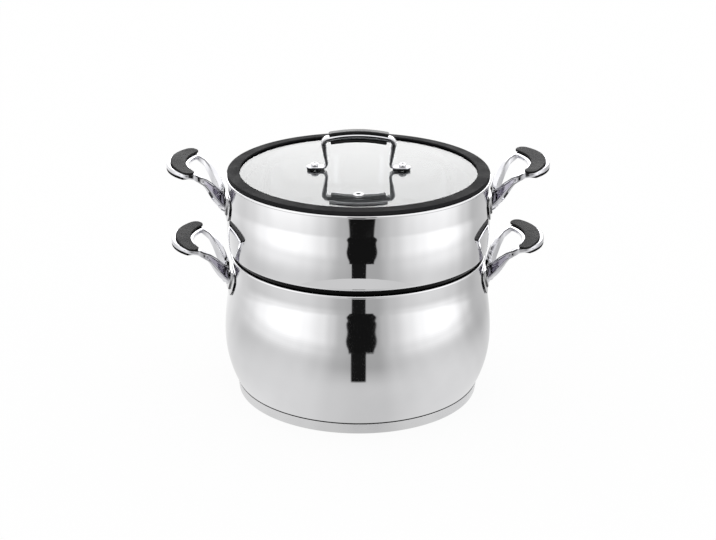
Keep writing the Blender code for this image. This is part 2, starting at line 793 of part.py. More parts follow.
def build_side_handles():
    casting = wishbone_mesh()
    grip = grip_mesh()
    screw = handle_screw_mesh()
    vessels = (
        ("pot", pot_outline(), POT_RIM_HEIGHT - POT_HANDLE_DROP),
        ("steamer", steamer_outline(), STEAMER_RIM_HEIGHT - STEAMER_HANDLE_DROP),
    )
    for vessel_name, outline, height in vessels:
        widest = wall_radius(outline, height - FOOT_HEIGHT / 2)
        face = max(outline[0][0] + BRACKET_STANDOFF, widest + CLEARANCE + BRACKET_LEAST)
        bracket = bracket_mesh(outline, face, height)
        for side, turn in (("right", 0), ("left", math.pi)):
            around = Matrix.Rotation(turn, 4, "Z")
            out = around @ Matrix.Translation((face, 0, height))
            pieces = (
                ("bracket", bracket, around, "satin_steel"),
                ("handle", casting, out, "cast_steel"),
                ("grip", grip, out, "silicone"),
                ("handle_screw", screw, out, "steel"),
            )
            for piece, mesh, place, kind in pieces:
                name = f"{vessel_name}_{piece}_{side}"
                obj = bpy.data.objects.new(name, mesh.copy())
                obj.matrix_world = place
                keep(obj, name, kind)


# Lid

def glass_top(radius):
    """Height of the glass's upper face, which domes a little to the middle."""
    edge = STEAMER_RIM_HEIGHT + GLASS_SINK
    return edge + GLASS_DOME * (1 - (radius / GLASS_RADIUS) ** 2)


def lid_frame():
    """The lid's own turn about the vessel's axis."""
    return Matrix.Rotation(LID_TURN, 4, "Z")


def build_glass():
    """Domed disc of tempered glass, bored for the vent and the handle's two screws."""
    radii = [0, GLASS_RADIUS / 2, BAND_INNER_RADIUS, GLASS_RADIUS - GLASS_EDGE]
    top = [(r, glass_top(r)) for r in radii]
    bottom = [(r, glass_top(r) - GLASS_THICKNESS) for r in reversed(radii)]
    edge = [
        (GLASS_RADIUS, glass_top(GLASS_RADIUS) - GLASS_EDGE),
        (GLASS_RADIUS, glass_top(GLASS_RADIUS) - GLASS_THICKNESS + GLASS_EDGE),
    ]
    glass = baked(turned("lid_glass", top + edge + bottom))
    weld(glass.data)
    shade_round(glass.data)
    middle = glass_top(0) - GLASS_THICKNESS / 2
    depth = GLASS_THICKNESS + 2 * CUT_OVERRUN
    holes = lid_bores("glass_screw_holes", LID_SCREW + 2 * CLEARANCE, depth, middle)
    vent = bmesh.new()
    place = lid_frame() @ Matrix.Translation((0, -VENT_DISTANCE, middle))
    add_cylinder(vent, VENT_TUBE + 2 * CLEARANCE, depth, place)
    cut(cut(glass, holes), object_from(vent, "glass_vent_hole"))
    keep(glass, "lid_glass", "glass")


def build_band():
    """Silicone rim that grips the glass, rests on the steamer and centres the lid."""
    rest = STEAMER_RIM_HEIGHT + CLEARANCE
    collar = STEAMER_RIM_RADIUS - RIM_BEAD - COLLAR_PLAY
    groove = GLASS_RADIUS + CLEARANCE
    under_inner = BAND_INNER_RADIUS + BAND_UNDER_REACH / 3
    glass_high = glass_top(BAND_INNER_RADIUS) + CLEARANCE
    groove_high = glass_top(GLASS_RADIUS) + CLEARANCE
    groove_low = glass_top(under_inner) - GLASS_THICKNESS - CLEARANCE
    outer_low = glass_top(GLASS_RADIUS) - GLASS_THICKNESS - CLEARANCE
    top = glass_high + BAND_LIP
    profile = [
        (BAND_INNER_RADIUS, top - BAND_EDGE / 2),
        (BAND_INNER_RADIUS + BAND_EDGE / 2, top),
        (BAND_RADIUS - BAND_EDGE, top - BAND_FALL),
        (BAND_RADIUS, top - BAND_FALL - BAND_EDGE),
        (BAND_RADIUS, rest),
        (collar, rest),
        (collar, outer_low - BAND_UNDER),
        (under_inner, groove_low - BAND_UNDER / 2),
        (under_inner, groove_low),
        (groove, outer_low),
        (groove, groove_high + GLASS_EDGE / 2),
        (BAND_INNER_RADIUS, glass_high),
    ]
    keep(turned("lid_band", profile, closed=True), "lid_band", "silicone")


def build_vent():
    """Steel eyelet riveted through the glass, square to its face."""
    slope = math.atan(2 * GLASS_DOME * VENT_DISTANCE / GLASS_RADIUS ** 2)
    flange = VENT_FLANGE / 2
    tube = VENT_TUBE / 2
    bore = VENT_BORE / 2
    low = -GLASS_THICKNESS - CLEARANCE
    profile = [
        (bore, CLEARANCE + VENT_SHEET),
        ((bore + flange) / 2, CLEARANCE + VENT_SHEET * 1.5),
        (flange, CLEARANCE + VENT_SHEET / 2),
        (flange, CLEARANCE),
        (tube, CLEARANCE),
        (tube, low),
        (flange, low),
        (flange, low - VENT_SHEET),
        (bore, low - VENT_SHEET),
    ]
    vent = turned("vent_eyelet", profile, SMALL_STEPS, closed=True)
    place = Matrix.Translation((0, -VENT_DISTANCE, glass_top(VENT_DISTANCE)))
    vent.matrix_world = lid_frame() @ place @ Matrix.Rotation(slope, 4, "X")
    keep(vent, "vent_eyelet", "steel")


def lid_foot_height():
    """Underside of the handle's feet, above glass and pad."""
    return glass_top(LID_SCREW_HALF_SPAN) + 2 * CLEARANCE + LID_WASHER_THICKNESS


def bar_height(x):
    """Height of the bar's centre line above the feet, arched along its length."""
    crown = LID_HANDLE_HEIGHT - LID_BAR_THICKNESS / 2
    return crown - LID_BAR_SAG * (x / LID_BAR_HALF_LENGTH) ** 2


def arch_line(half_length, shift, steps):
    """Points along the bar's arch from -half_length to half_length, moved up by shift."""
    points = []
    for step in range(steps + 1):
        x = half_length * (2 * step / steps - 1)
        points.append((x, bar_height(x) + shift))
    return points


def strip(line, thicknesses):
    """Closed outline of a strip along a line whose thickness changes from end to end."""
    path = [Vector(point) for point in line]
    left = []
    right = []
    for index, point in enumerate(path):
        run = path[min(index + 1, len(path) - 1)] - path[max(index - 1, 0)]
        side = Vector((-run.y, run.x)).normalized() * thicknesses[index] / 2
        left.append(tuple(point + side))
        right.append(tuple(point - side))
    return right + left[::-1]


def lid_handle_line():
    """Centre line of the right half of the handle, from the bar's middle to the foot's end."""
    foot = LID_FOOT_THICKNESS / 2
    bar = arch_line(LID_BAR_HALF_LENGTH, 0, 6)[3:-1]
    shoulder = (LID_SHOULDER_HALF_WIDTH, LID_HANDLE_HEIGHT - LID_SHOULDER_DROP)
    ankle = (LID_WAIST_HALF_WIDTH, foot)
    end = (LID_FOOT_HALF_WIDTH, foot)
    line = [(point, LID_BAR_THICKNESS) for point in bar]
    for point in fillet(bar[-1], shoulder, ankle, LID_BEND, 4):
        line.append((point, LID_LEG_THICKNESS))
    for index, point in enumerate(fillet(shoulder, ankle, end, LID_BEND, 4)):
        share = index / 4
        thickness = LID_LEG_THICKNESS + (LID_FOOT_THICKNESS - LID_LEG_THICKNESS) * share
        line.append((point, thickness))
    line.append((end, LID_FOOT_THICKNESS))
    return line


def lid_handle_outline():
    half = lid_handle_line()
    other = [((-x, z), thickness) for (x, z), thickness in half[:0:-1]]
    line = other + half
    return strip([point for point, _ in line], [thickness for _, thickness in line])


def standing(obj):
    """Turn an outline drawn in XY upright onto the lid's feet, in the lid's own frame."""
    upright = Matrix.Rotation(math.radians(90), 4, "X")
    place = lid_frame() @ Matrix.Translation((0, 0, lid_foot_height()))
    return moved(obj, place @ upright)


def lid_bores(name, diameter, depth, height):
    """Cutter for the two upright screw holes, centred on a height."""
    work = bmesh.new()
    for side in (-1, 1):
        place = lid_frame() @ Matrix.Translation((side * LID_SCREW_HALF_SPAN, 0, height))
        add_cylinder(work, diameter, depth, place)
    return object_from(work, name)


def build_lid_handle():
    """Cast bar on two waisted legs, slotted for the grip and bored for the screws."""
    handle = standing(extruded(
        "lid_handle", lid_handle_outline(), LID_HANDLE_DEPTH, LID_HANDLE_EDGE))
    slot_line = arch_line(LID_SLOT_HALF_LENGTH + CLEARANCE, 0, 4)
    slot = extruded(
        "lid_slot",
        strip(slot_line, [LID_BAR_THICKNESS + CUT_OVERRUN] * len(slot_line)),
        LID_SLOT_DEPTH + 2 * CLEARANCE,
    )
    handle = combined(handle, "DIFFERENCE", standing(slot))
    holes = lid_bores(
        "foot_screw_holes",
        LID_SCREW + 2 * CLEARANCE,
        LID_FOOT_THICKNESS + 2 * CUT_OVERRUN,
        lid_foot_height() + LID_FOOT_THICKNESS / 2,
    )
    handle = combined(handle, "DIFFERENCE", holes)
    shade_round(handle.data)
    keep(handle, "lid_handle", "cast_steel")


def build_lid_grip():
    """Silicone pad on the bar, a neck through its slot and a crescent below."""
    reach = LID_BAR_THICKNESS / 2 + CLEARANCE
    top_line = arch_line(LID_GRIP_HALF_LENGTH, reach + LID_GRIP_THICKNESS / 2, 6)
    under_line = arch_line(LID_UNDER_HALF_LENGTH, -reach - LID_GRIP_THICKNESS / 2, 6)
    neck_line = arch_line(LID_SLOT_HALF_LENGTH, 0, 4)
    top = extruded(
        "lid_grip",
        strip(top_line, [LID_GRIP_THICKNESS] * len(top_line)),
        LID_GRIP_DEPTH,
        LID_GRIP_EDGE,
    )
    under = extruded(
        "under",
        strip(under_line, [LID_GRIP_THICKNESS] * len(under_line)),
        LID_GRIP_DEPTH,
        LID_GRIP_EDGE,
    )
    neck = extruded(
        "neck",
        strip(neck_line, [2 * reach + LID_GRIP_THICKNESS] * len(neck_line)),
        LID_SLOT_DEPTH,
    )
    grip = combined(combined(standing(top), "UNION", standing(neck)), "UNION", standing(under))
    shade_round(grip.data)
    keep(grip, "lid_grip", "silicone")


def washer_profile(bore, outside, low, high):
    return [(bore, high), (outside, high), (outside, low), (bore, low)]


def build_lid_pads():
    """Silicone pads as long as the feet, between them and the glass, bored for the screws."""
    width = LID_HANDLE_DEPTH - 2 * LID_PAD_INSET
    low = glass_top(LID_SCREW_HALF_SPAN) + CLEARANCE
    outer = LID_FOOT_HALF_WIDTH - LID_PAD_INSET
    inner = outer - LID_PAD_LENGTH
    sides = ((outer, width / 2), (inner, width / 2), (inner, -width / 2), (outer, -width / 2))
    outline = []
    for index, corner in enumerate(sides):
        outline += fillet(sides[index - 1], corner, sides[(index + 1) % 4], LID_HANDLE_EDGE)
    for name, sign in (("lid_washer_left", -1), ("lid_washer_right", 1)):
        pad = extruded(name, [(sign * x, y) for x, y in outline], LID_WASHER_THICKNESS)
        lift = Matrix.Translation((0, 0, low + LID_WASHER_THICKNESS / 2))
        pad = moved(pad, lid_frame() @ lift)
        bore = lid_bores(
            "pad_holes", LID_SCREW + 2 * CLEARANCE, LID_WASHER_THICKNESS + 2 * CUT_OVERRUN, low)
        pad = combined(pad, "DIFFERENCE", bore)
        shade_round(pad.data)
        keep(pad, name, "silicone")


def build_lid_fasteners():
    """Screw, seal and nut at each foot, all turned about the screw's own axis."""
    glass = glass_top(LID_SCREW_HALF_SPAN)
    foot_top = lid_foot_height() + LID_FOOT_THICKNESS
    seal_high = glass - GLASS_THICKNESS - CLEARANCE
    nut_high = seal_high - LID_WASHER_THICKNESS - CLEARANCE
    tail = nut_high - LID_NUT_HEIGHT - LID_SCREW_TAIL
    head = LID_SCREW_HEAD / 2
    shank = LID_SCREW / 2
    bore = shank + CLEARANCE
    seat = foot_top + CLEARANCE
    crown_low = seat + LID_SCREW_HEAD_HEIGHT / 4
    crown = bow((head, crown_low), (head / 4, seat + LID_SCREW_HEAD_HEIGHT), ARC_STEPS)
    screw = [(0, crown[-1][1])] + crown[::-1]
    screw += [(head, seat), (shank, seat), (shank, tail), (0, tail)]
    seal = washer_profile(bore, LID_WASHER / 2, seal_high - LID_WASHER_THICKNESS, seal_high)
    nut = washer_profile(bore, LID_NUT / math.sqrt(3), nut_high - LID_NUT_HEIGHT, nut_high)
    pieces = (
        ("lid_screw", screw, SMALL_STEPS, False, "steel"),
        ("lid_seal", seal, SMALL_STEPS, True, "silicone"),
        ("lid_nut", nut, 6, True, "steel"),
    )
    for side, sign in (("left", -1), ("right", 1)):
        place = lid_frame() @ Matrix.Translation((sign * LID_SCREW_HALF_SPAN, 0, 0))
        for piece, profile, steps, closed, kind in pieces:
            name = f"{piece}_{side}"
            obj = turned(name, profile, steps, closed)
            obj.matrix_world = place
            keep(obj, name, kind)


def build_lifts():
    """Empties on the common axis: the steamer lifts off the pot, the lid off the steamer."""
    heights = (POT_RIM_HEIGHT, STEAMER_RIM_HEIGHT)
    pieces = list(part_collection.objects)
    carrier = None
    below = 0.0
    for (name, starts), height in zip(CARRIED.items(), heights):
        lift = bpy.data.objects.new(name, None)
        lift.location = (0, 0, height - below)
        lift.parent = carrier
        part_collection.objects.link(lift)
        for piece in pieces:
            if piece.name.startswith(starts):
                piece.parent = lift
                piece.matrix_parent_inverse = Matrix.Translation((0, 0, -height))
        carrier = lift
        below = height


def main():
    for obj in list(bpy.data.objects):
        bpy.data.objects.remove(obj)
    bpy.context.scene.collection.children.link(part_collection)
    bpy.context.scene.collection.children.link(cutter_collection)
    build_pot_body()
    build_base()
    build_steamer_body()
    build_side_handles()
    build_glass()
    build_band()
    build_vent()
    build_lid_handle()
    build_lid_grip()
    build_lid_pads()
    build_lid_fasteners()
    build_lifts()


main()
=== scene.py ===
import math

import bpy
import numpy as np
from mathutils import Matrix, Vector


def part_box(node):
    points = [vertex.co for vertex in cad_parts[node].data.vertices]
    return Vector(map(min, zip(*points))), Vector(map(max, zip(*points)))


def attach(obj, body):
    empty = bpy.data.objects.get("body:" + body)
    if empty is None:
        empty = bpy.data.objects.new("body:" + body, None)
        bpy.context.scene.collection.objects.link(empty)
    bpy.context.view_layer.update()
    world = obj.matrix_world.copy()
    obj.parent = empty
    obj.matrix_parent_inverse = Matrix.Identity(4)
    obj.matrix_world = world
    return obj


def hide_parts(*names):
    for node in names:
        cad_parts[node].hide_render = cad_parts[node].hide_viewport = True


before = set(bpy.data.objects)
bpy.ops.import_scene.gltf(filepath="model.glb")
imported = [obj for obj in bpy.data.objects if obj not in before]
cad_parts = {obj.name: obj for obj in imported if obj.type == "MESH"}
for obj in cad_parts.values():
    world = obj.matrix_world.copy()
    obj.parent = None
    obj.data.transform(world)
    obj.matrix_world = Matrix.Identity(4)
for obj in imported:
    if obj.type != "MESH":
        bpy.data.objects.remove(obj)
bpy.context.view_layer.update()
print("frame loaded:", len(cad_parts), "nodes")

# Heights that several pieces share, in metres above the table
levels = {"potRim": 0.1503, "steamerRim": 0.2333, "sheet": 0.0008, "bead": 0.0030, "air": 0.0003}


# Meshes from arrays

# Turn arrays into a smooth-shaded object whose faces point outwards
def addObject(name, vertices, faces, sharpDegrees=40.0):
    vertices = np.asarray(vertices, float)
    total = 0.0
    for part in faces:
        a = vertices[part[:, 0]]
        for k in range(1, part.shape[1] - 1):
            total += np.einsum("ij,ij->i", a, np.cross(vertices[part[:, k]], vertices[part[:, k + 1]])).sum()
    if total < 0:                                   # the signed volume says inside out
        faces = [part[:, ::-1] for part in faces]
    mesh = bpy.data.meshes.new(name)
    mesh.from_pydata(vertices.tolist(), [], [f for part in faces for f in part.tolist()])
    mesh.shade_smooth()
    mesh.set_sharp_from_angle(angle=math.radians(sharpDegrees))
    piece = bpy.data.objects.new(name, mesh)
    bpy.context.scene.collection.objects.link(piece)
    return piece


# Masks along a piece's own edges and recesses, kept as vertex attributes for its finish
def addMask(piece, name, values):
    mask = piece.data.attributes.new(name, "FLOAT", "POINT")
    mask.data.foreach_set("value", np.asarray(values, np.float32))
    return piece


# Quads between neighbouring rows and columns of a grid of points, as index rows
def gridQuads(rows, columns, wrapRows=False, wrapColumns=True):
    r = np.arange(rows if wrapRows else rows - 1)
    c = np.arange(columns if wrapColumns else columns - 1)
    r, c = [v.ravel() for v in np.meshgrid(r, c, indexing="ij")]
    rn, cn = (r + 1) % rows, (c + 1) % columns
    return np.stack([r * columns + c, r * columns + cn, rn * columns + cn, rn * columns + c], 1)


# Triangles from one ring of a grid to a pole point
def capFan(row, columns, pole, flip):
    c = np.arange(columns)
    ring = row * columns + c
    nextRing = row * columns + (c + 1) % columns
    order = (nextRing, ring) if flip else (ring, nextRing)
    return np.stack([*order, np.full(columns, pole)], 1)


# Points (r cos a, r sin a, z) for a profile (r, z): ends on the axis become poles, others close the ring
def turned(profile, segments=192):
    profile = np.asarray(profile, float)
    onAxis = profile[0, 0] < 1e-7 and profile[-1, 0] < 1e-7
    body = profile[1:-1] if onAxis else profile
    angle = np.linspace(0, 2 * math.pi, segments, endpoint=False)
    points = np.stack([
        np.outer(body[:, 0], np.cos(angle)),
        np.outer(body[:, 0], np.sin(angle)),
        np.repeat(body[:, 1:2], segments, 1),
    ], 2).reshape(-1, 3)
    faces = [gridQuads(len(body), segments, wrapRows=not onAxis)]
    if onAxis:
        poles = np.array([[0, 0, profile[0, 1]], [0, 0, profile[-1, 1]]])
        last = len(points)
        faces += [capFan(0, segments, last, True), capFan(len(body) - 1, segments, last + 1, False)]
        points = np.vstack([points, poles])
    return points, faces


# Add points on long runs, with a close pair at each end, so that smooth shading stays flat on them
def refined(profile, longest=0.004, tight=0.0004):
    out = [np.asarray(profile[0], float)]
    for a, b in zip(profile[:-1], profile[1:]):
        a, b = np.asarray(a, float), np.asarray(b, float)
        length = np.linalg.norm(b - a)
        if length > 4 * tight:
            steps = max(1, int(length / longest))
            shares = np.unique(np.r_[tight / length, np.linspace(0, 1, steps + 1)[1:-1], 1 - tight / length, 1])
        else:
            shares = np.array([1.0])
        out += [a + (b - a) * s for s in shares]
    return np.array(out)


# Arc that leaves start straight up or down: its turn is twice the angle of the chord off the vertical
def arcFromUpright(start, end, count):
    across, along = end[0] - start[0], end[1] - start[1]
    turn = 2 * math.atan2(abs(across), abs(along))
    radius = abs(along) / math.sin(turn)
    a = np.linspace(0, turn, count)
    return np.stack([
        start[0] + np.copysign(radius * (1 - np.cos(a)), across),
        start[1] + np.copysign(radius * np.sin(a), along),
    ], 1)


# Two arcs, upright at both ends, that meet with one tangent at a share of the way
def doubleArc(upper, lower, share, count):
    middle = (lower[0] + share * (upper[0] - lower[0]), lower[1] + share * (upper[1] - lower[1]))
    return np.vstack([arcFromUpright(upper, middle, count), arcFromUpright(lower, middle, count)[-2::-1]])


# Arc of the radius tangent to both sides of a corner
def roundCorner(before, corner, after, radius, count=10):
    before, corner, after = (np.asarray(p, float) for p in (before, corner, after))
    back = (before - corner) / np.linalg.norm(before - corner)
    ahead = (after - corner) / np.linalg.norm(after - corner)
    half = math.acos(np.clip(back @ ahead, -1, 1)) / 2
    middle = (back + ahead) / np.linalg.norm(back + ahead)
    centre = corner + middle * radius / math.sin(half)
    start, end = corner + back * radius / math.tan(half) - centre, corner + ahead * radius / math.tan(half) - centre
    swing = math.atan2(start[0] * end[1] - start[1] * end[0], start @ end)
    a = np.linspace(0, swing, count)
    return centre + np.stack([start[0] * np.cos(a) - start[1] * np.sin(a), start[0] * np.sin(a) + start[1] * np.cos(a)], 1)


# The path moved to its right by the distance, with mitred corners
def inset(path, distance):
    path = np.asarray(path, float)
    run = np.diff(path, axis=0)
    run /= np.linalg.norm(run, axis=1)[:, None]
    side = np.stack([run[:, 1], -run[:, 0]], 1)
    before, after = np.vstack([side[:1], side]), np.vstack([side, side[-1:]])
    mitre = before + after
    mitre /= np.linalg.norm(mitre, axis=1)[:, None]
    return path + mitre * (distance / np.einsum("ij,ij->i", mitre, after))[:, None]


# Rolled rim: from the wall's inner side over the top to where it tucks under outside
def beadArc(radius, top, count=22):
    half = levels["bead"] / 2
    tuck = -math.acos((levels["sheet"] - half) / half)
    a = np.linspace(math.pi, tuck, count)
    return np.stack([radius - half + half * np.cos(a), top - half + half * np.sin(a)], 1)


# Even samples of a Catmull-Rom curve: each span blends its four nearest points by cubic weights
def smoothPath(points, count):
    p = np.asarray(points, float)
    p = np.vstack([2 * p[0] - p[1], p, 2 * p[-1] - p[-2]])
    u = np.linspace(0, len(points) - 1, count)
    i = np.minimum(u.astype(int), len(points) - 2)
    t = (u - i)[:, None]
    a, b, c, d = p[i], p[i + 1], p[i + 2], p[i + 3]
    return 0.5 * (2 * b + (c - a) * t + (2 * a - 5 * b + 4 * c - d) * t ** 2 + (3 * b - a - 3 * c + d) * t ** 3)


# Points carried by a 4x4 matrix
def moved(vertices, matrix):
    m = np.array(matrix, float)
    return np.asarray(vertices) @ m[:3, :3].T + m[:3, 3]


# One vertex array and face list from several closed shells
def joined(parts):
    vertices, faces, first = [], [], 0
    for points, partFaces in parts:
        vertices.append(points)
        faces += [f + first for f in partFaces]
        first += len(points)
    return np.vstack(vertices), faces


# A shell with its faces turned outwards, for joining with others
def oriented(points, faces):
    total = sum(np.einsum("ij,ij->i", points[f[:, 0]], np.cross(points[f[:, 1]], points[f[:, 2]])).sum() for f in faces)
    return points, (faces if total > 0 else [f[:, ::-1] for f in faces])


# Boolean difference with a cutter made of closed shells, applied at once
def cutWith(piece, vertices, faces):
    cutter = addObject("cutter", vertices, faces)
    step = piece.modifiers.new("cut", "BOOLEAN")
    step.solver = "EXACT"
    step.object = cutter
    bpy.context.view_layer.update()
    mesh = bpy.data.meshes.new_from_object(piece.evaluated_get(bpy.context.evaluated_depsgraph_get()))
    piece.modifiers.clear()
    piece.data = mesh
    bpy.data.objects.remove(cutter)
    mesh.shade_smooth()
    mesh.set_sharp_from_angle(angle=math.radians(40))


# Closed rounded rectangle as unit shares: corner signs (cx, cz) and arc directions (dx, dz)
def sectionTemplate(side=9, across=7, corner=5):
    quarter = np.linspace(0, math.pi / 2, corner)
    run, width = np.linspace(1, -1, side + 2)[1:-1], np.linspace(1, -1, across + 2)[1:-1]
    rows = []
    for start, cx, cz in ((0, 1, 1), (1, -1, 1), (2, -1, -1), (3, 1, -1)):
        a = quarter + start * math.pi / 2
        rows.append(np.stack([np.full(corner, cx), np.full(corner, cz), np.cos(a), np.sin(a)], 1))
        if start == 0:      # top, from the outer side to the inner side
            rows.append(np.stack([width, np.ones(across), np.zeros(across), np.ones(across)], 1))
        elif start == 1:    # inner side, downwards
            rows.append(np.stack([-np.ones(side), run, -np.ones(side), np.zeros(side)], 1))
        elif start == 2:    # bottom
            rows.append(np.stack([-width, -np.ones(across), np.zeros(across), -np.ones(across)], 1))
        else:               # outer side, upwards
            rows.append(np.stack([np.ones(side), -run, np.ones(side), np.zeros(side)], 1))
    return np.vstack(rows).T


# Rounded rectangle of changing width and height carried along a path; pocket(cz) hollows its outer side
def sweptBar(centre, sideways, upwards, width, height, radius, pocket=None, template=None):
    cx, cz, dx, dz = template if template is not None else sectionTemplate()
    w, h, r = (np.broadcast_to(np.asarray(v, float), (len(centre),))[:, None] for v in (width, height, radius))
    r = np.minimum(r, np.minimum(w, h) * 0.48)
    x = cx * (w / 2 - r) + dx * r
    z = cz * (h / 2 - r) + dz * r
    if pocket is not None:
        inward = np.clip((0.80 - np.abs(cz)) / 0.22, 0, 1)
        x = x - pocket * (dx > 0.99) * inward ** 2 * (3 - 2 * inward)
    points = centre[:, None] + x[..., None] * sideways[:, None] + z[..., None] * upwards[:, None]
    rows, columns = x.shape
    faces = [gridQuads(rows, columns)]
    flat = points.reshape(-1, 3)
    ends = np.array([points[0].mean(0), points[-1].mean(0)])
    faces += [capFan(0, columns, len(flat), True), capFan(rows - 1, columns, len(flat) + 1, False)]
    return oriented(np.vstack([flat, ends]), faces)


# Node groups and materials

# Empty shader group with named sockets; inputs are (name, kind, value)
def newGroup(name, inputs, outputs):
    group = bpy.data.node_groups.new(name, "ShaderNodeTree")
    for socketName, kind, value in inputs:
        socket = group.interface.new_socket(socketName, in_out="INPUT", socket_type=kind)
        if value is not None:
            socket.default_value = value
    for socketName, kind in outputs:
        group.interface.new_socket(socketName, in_out="OUTPUT", socket_type=kind)
    return group, group.nodes.new("NodeGroupInput"), group.nodes.new("NodeGroupOutput")


def node(tree, kind, **settings):
    made = tree.nodes.new(kind)
    for key, value in settings.items():
        setattr(made, key, value)
    return made


# Math node whose arguments are sockets or numbers; returns its output
def mathNode(tree, operation, a, b=None, c=None):
    made = node(tree, "ShaderNodeMath", operation=operation)
    for index, value in enumerate((a, b, c)):
        if value is None:
            continue
        if isinstance(value, (int, float)):
            made.inputs[index].default_value = value
        else:
            tree.links.new(value, made.inputs[index])
    return made.outputs[0]


def mapRange(tree, value, low, high, toLow=0.0, toHigh=1.0, smooth=True):
    made = node(tree, "ShaderNodeMapRange", interpolation_type="SMOOTHSTEP" if smooth else "LINEAR")
    tree.links.new(value, made.inputs["Value"])
    for key, number in (("From Min", low), ("From Max", high), ("To Min", toLow), ("To Max", toHigh)):
        made.inputs[key].default_value = number
    return made.outputs["Result"]


def noiseNode(tree, vector, scale, detail=2.0, roughness=0.5):
    made = node(tree, "ShaderNodeTexNoise")
    tree.links.new(vector, made.inputs["Vector"])
    made.inputs["Scale"].default_value = scale
    made.inputs["Detail"].default_value = detail
    made.inputs["Roughness"].default_value = roughness
    return made.outputs["Fac"]


# Effects that several finishes share
def buildGroups():
    groups = {}

    # Buffing marks that run round the vessel: noise read at (angle, height), drawn out along the angle
    group, gi, go = newGroup("turnedPolish", [("Stretch", "NodeSocketFloat", 3.0), ("Fineness", "NodeSocketFloat", 900.0)],
                             [("Lines", "NodeSocketFloat"), ("Haze", "NodeSocketFloat")])
    coordinates = node(group, "ShaderNodeTexCoord").outputs["Object"]
    split = node(group, "ShaderNodeSeparateXYZ")
    group.links.new(coordinates, split.inputs[0])
    angle = mathNode(group, "ARCTAN2", split.outputs[1], split.outputs[0])
    radius = mathNode(group, "SQRT", mathNode(group, "ADD", mathNode(group, "POWER", split.outputs[0], 2.0),
                                              mathNode(group, "POWER", split.outputs[1], 2.0)))
    wound = node(group, "ShaderNodeCombineXYZ")
    group.links.new(mathNode(group, "MULTIPLY", mathNode(group, "COSINE", angle), gi.outputs["Stretch"]), wound.inputs[0])
    group.links.new(mathNode(group, "MULTIPLY", mathNode(group, "SINE", angle), gi.outputs["Stretch"]), wound.inputs[1])
    group.links.new(mathNode(group, "MULTIPLY", mathNode(group, "ADD", split.outputs[2], mathNode(group, "MULTIPLY", radius, 0.6)),
                             gi.outputs["Fineness"]), wound.inputs[2])
    group.links.new(noiseNode(group, wound.outputs[0], 1.0, 3.0, 0.6), go.inputs["Lines"])
    group.links.new(mapRange(group, noiseNode(group, coordinates, 14.0, 3.0, 0.55), 0.35, 0.7), go.inputs["Haze"])
    groups["turnedPolish"] = group

    # Marks of a hand buff: fine noise drawn out along X, with soft clouds of handling
    group, gi, go = newGroup("handPolish", [("Fineness", "NodeSocketFloat", 700.0)],
                             [("Lines", "NodeSocketFloat"), ("Haze", "NodeSocketFloat")])
    coordinates = node(group, "ShaderNodeTexCoord").outputs["Object"]
    stretch = node(group, "ShaderNodeMapping")
    stretch.inputs["Scale"].default_value = (0.08, 1.0, 1.0)
    group.links.new(coordinates, stretch.inputs["Vector"])
    scaled = node(group, "ShaderNodeVectorMath", operation="SCALE")
    group.links.new(stretch.outputs[0], scaled.inputs[0])
    group.links.new(gi.outputs["Fineness"], scaled.inputs["Scale"])
    group.links.new(noiseNode(group, scaled.outputs[0], 1.0, 2.0, 0.6), go.inputs["Lines"])
    group.links.new(mapRange(group, noiseNode(group, coordinates, 60.0, 3.0, 0.6), 0.3, 0.75), go.inputs["Haze"])
    groups["handPolish"] = group

    # Moulded rubber: fine even grain, a few specks of dust and slow cloudiness
    group, gi, go = newGroup("mouldGrain", [("Grain", "NodeSocketFloat", 2600.0)],
                             [("Height", "NodeSocketFloat"), ("Dust", "NodeSocketFloat"), ("Cloud", "NodeSocketFloat")])
    coordinates = node(group, "ShaderNodeTexCoord").outputs["Object"]
    scaled = node(group, "ShaderNodeVectorMath", operation="SCALE")
    group.links.new(coordinates, scaled.inputs[0])
    group.links.new(gi.outputs["Grain"], scaled.inputs["Scale"])
    group.links.new(noiseNode(group, scaled.outputs[0], 1.0, 1.0, 0.5), go.inputs["Height"])
    specks = node(group, "ShaderNodeTexVoronoi", feature="DISTANCE_TO_EDGE")
    group.links.new(coordinates, specks.inputs["Vector"])
    specks.inputs["Scale"].default_value = 190.0
    sparse = mapRange(group, noiseNode(group, coordinates, 240.0, 2.0, 0.5), 0.66, 0.74)
    group.links.new(mathNode(group, "MULTIPLY", sparse, mapRange(group, specks.outputs["Distance"], 0.0, 0.2)), go.inputs["Dust"])
    group.links.new(noiseNode(group, coordinates, 35.0, 3.0, 0.6), go.inputs["Cloud"])
    groups["mouldGrain"] = group
    return groups


# Material with a Principled shader whose plain values sit on its own sockets
def newMaterial(name, **constants):
    material = bpy.data.materials.new(name)
    material.use_nodes = True
    shader = material.node_tree.nodes["Principled BSDF"]
    for key, value in constants.items():
        shader.inputs[key.replace("_", " ")].default_value = value
    return material, material.node_tree, shader


def maskNode(tree, name):
    return node(tree, "ShaderNodeAttribute", attribute_type="GEOMETRY", attribute_name=name).outputs["Fac"]


# Where no light reaches between two pieces: one between two heights, outside a radius
def crevice(tree, low, high, radius, soft=0.00025):
    split = node(tree, "ShaderNodeSeparateXYZ")
    tree.links.new(node(tree, "ShaderNodeTexCoord").outputs["Object"], split.inputs[0])
    x, y, z = split.outputs
    out = mathNode(tree, "SQRT", mathNode(tree, "ADD", mathNode(tree, "MULTIPLY", x, x), mathNode(tree, "MULTIPLY", y, y)))
    tall = mathNode(tree, "MULTIPLY", mapRange(tree, z, low - soft, low + soft), mapRange(tree, z, high - soft, high + soft, 1.0, 0.0))
    return mathNode(tree, "MULTIPLY", tall, mapRange(tree, out, radius - soft, radius + soft))


def placeGroup(tree, group, **values):
    made = node(tree, "ShaderNodeGroup", node_tree=group)
    for key, value in values.items():
        made.inputs[key].default_value = value
    return made


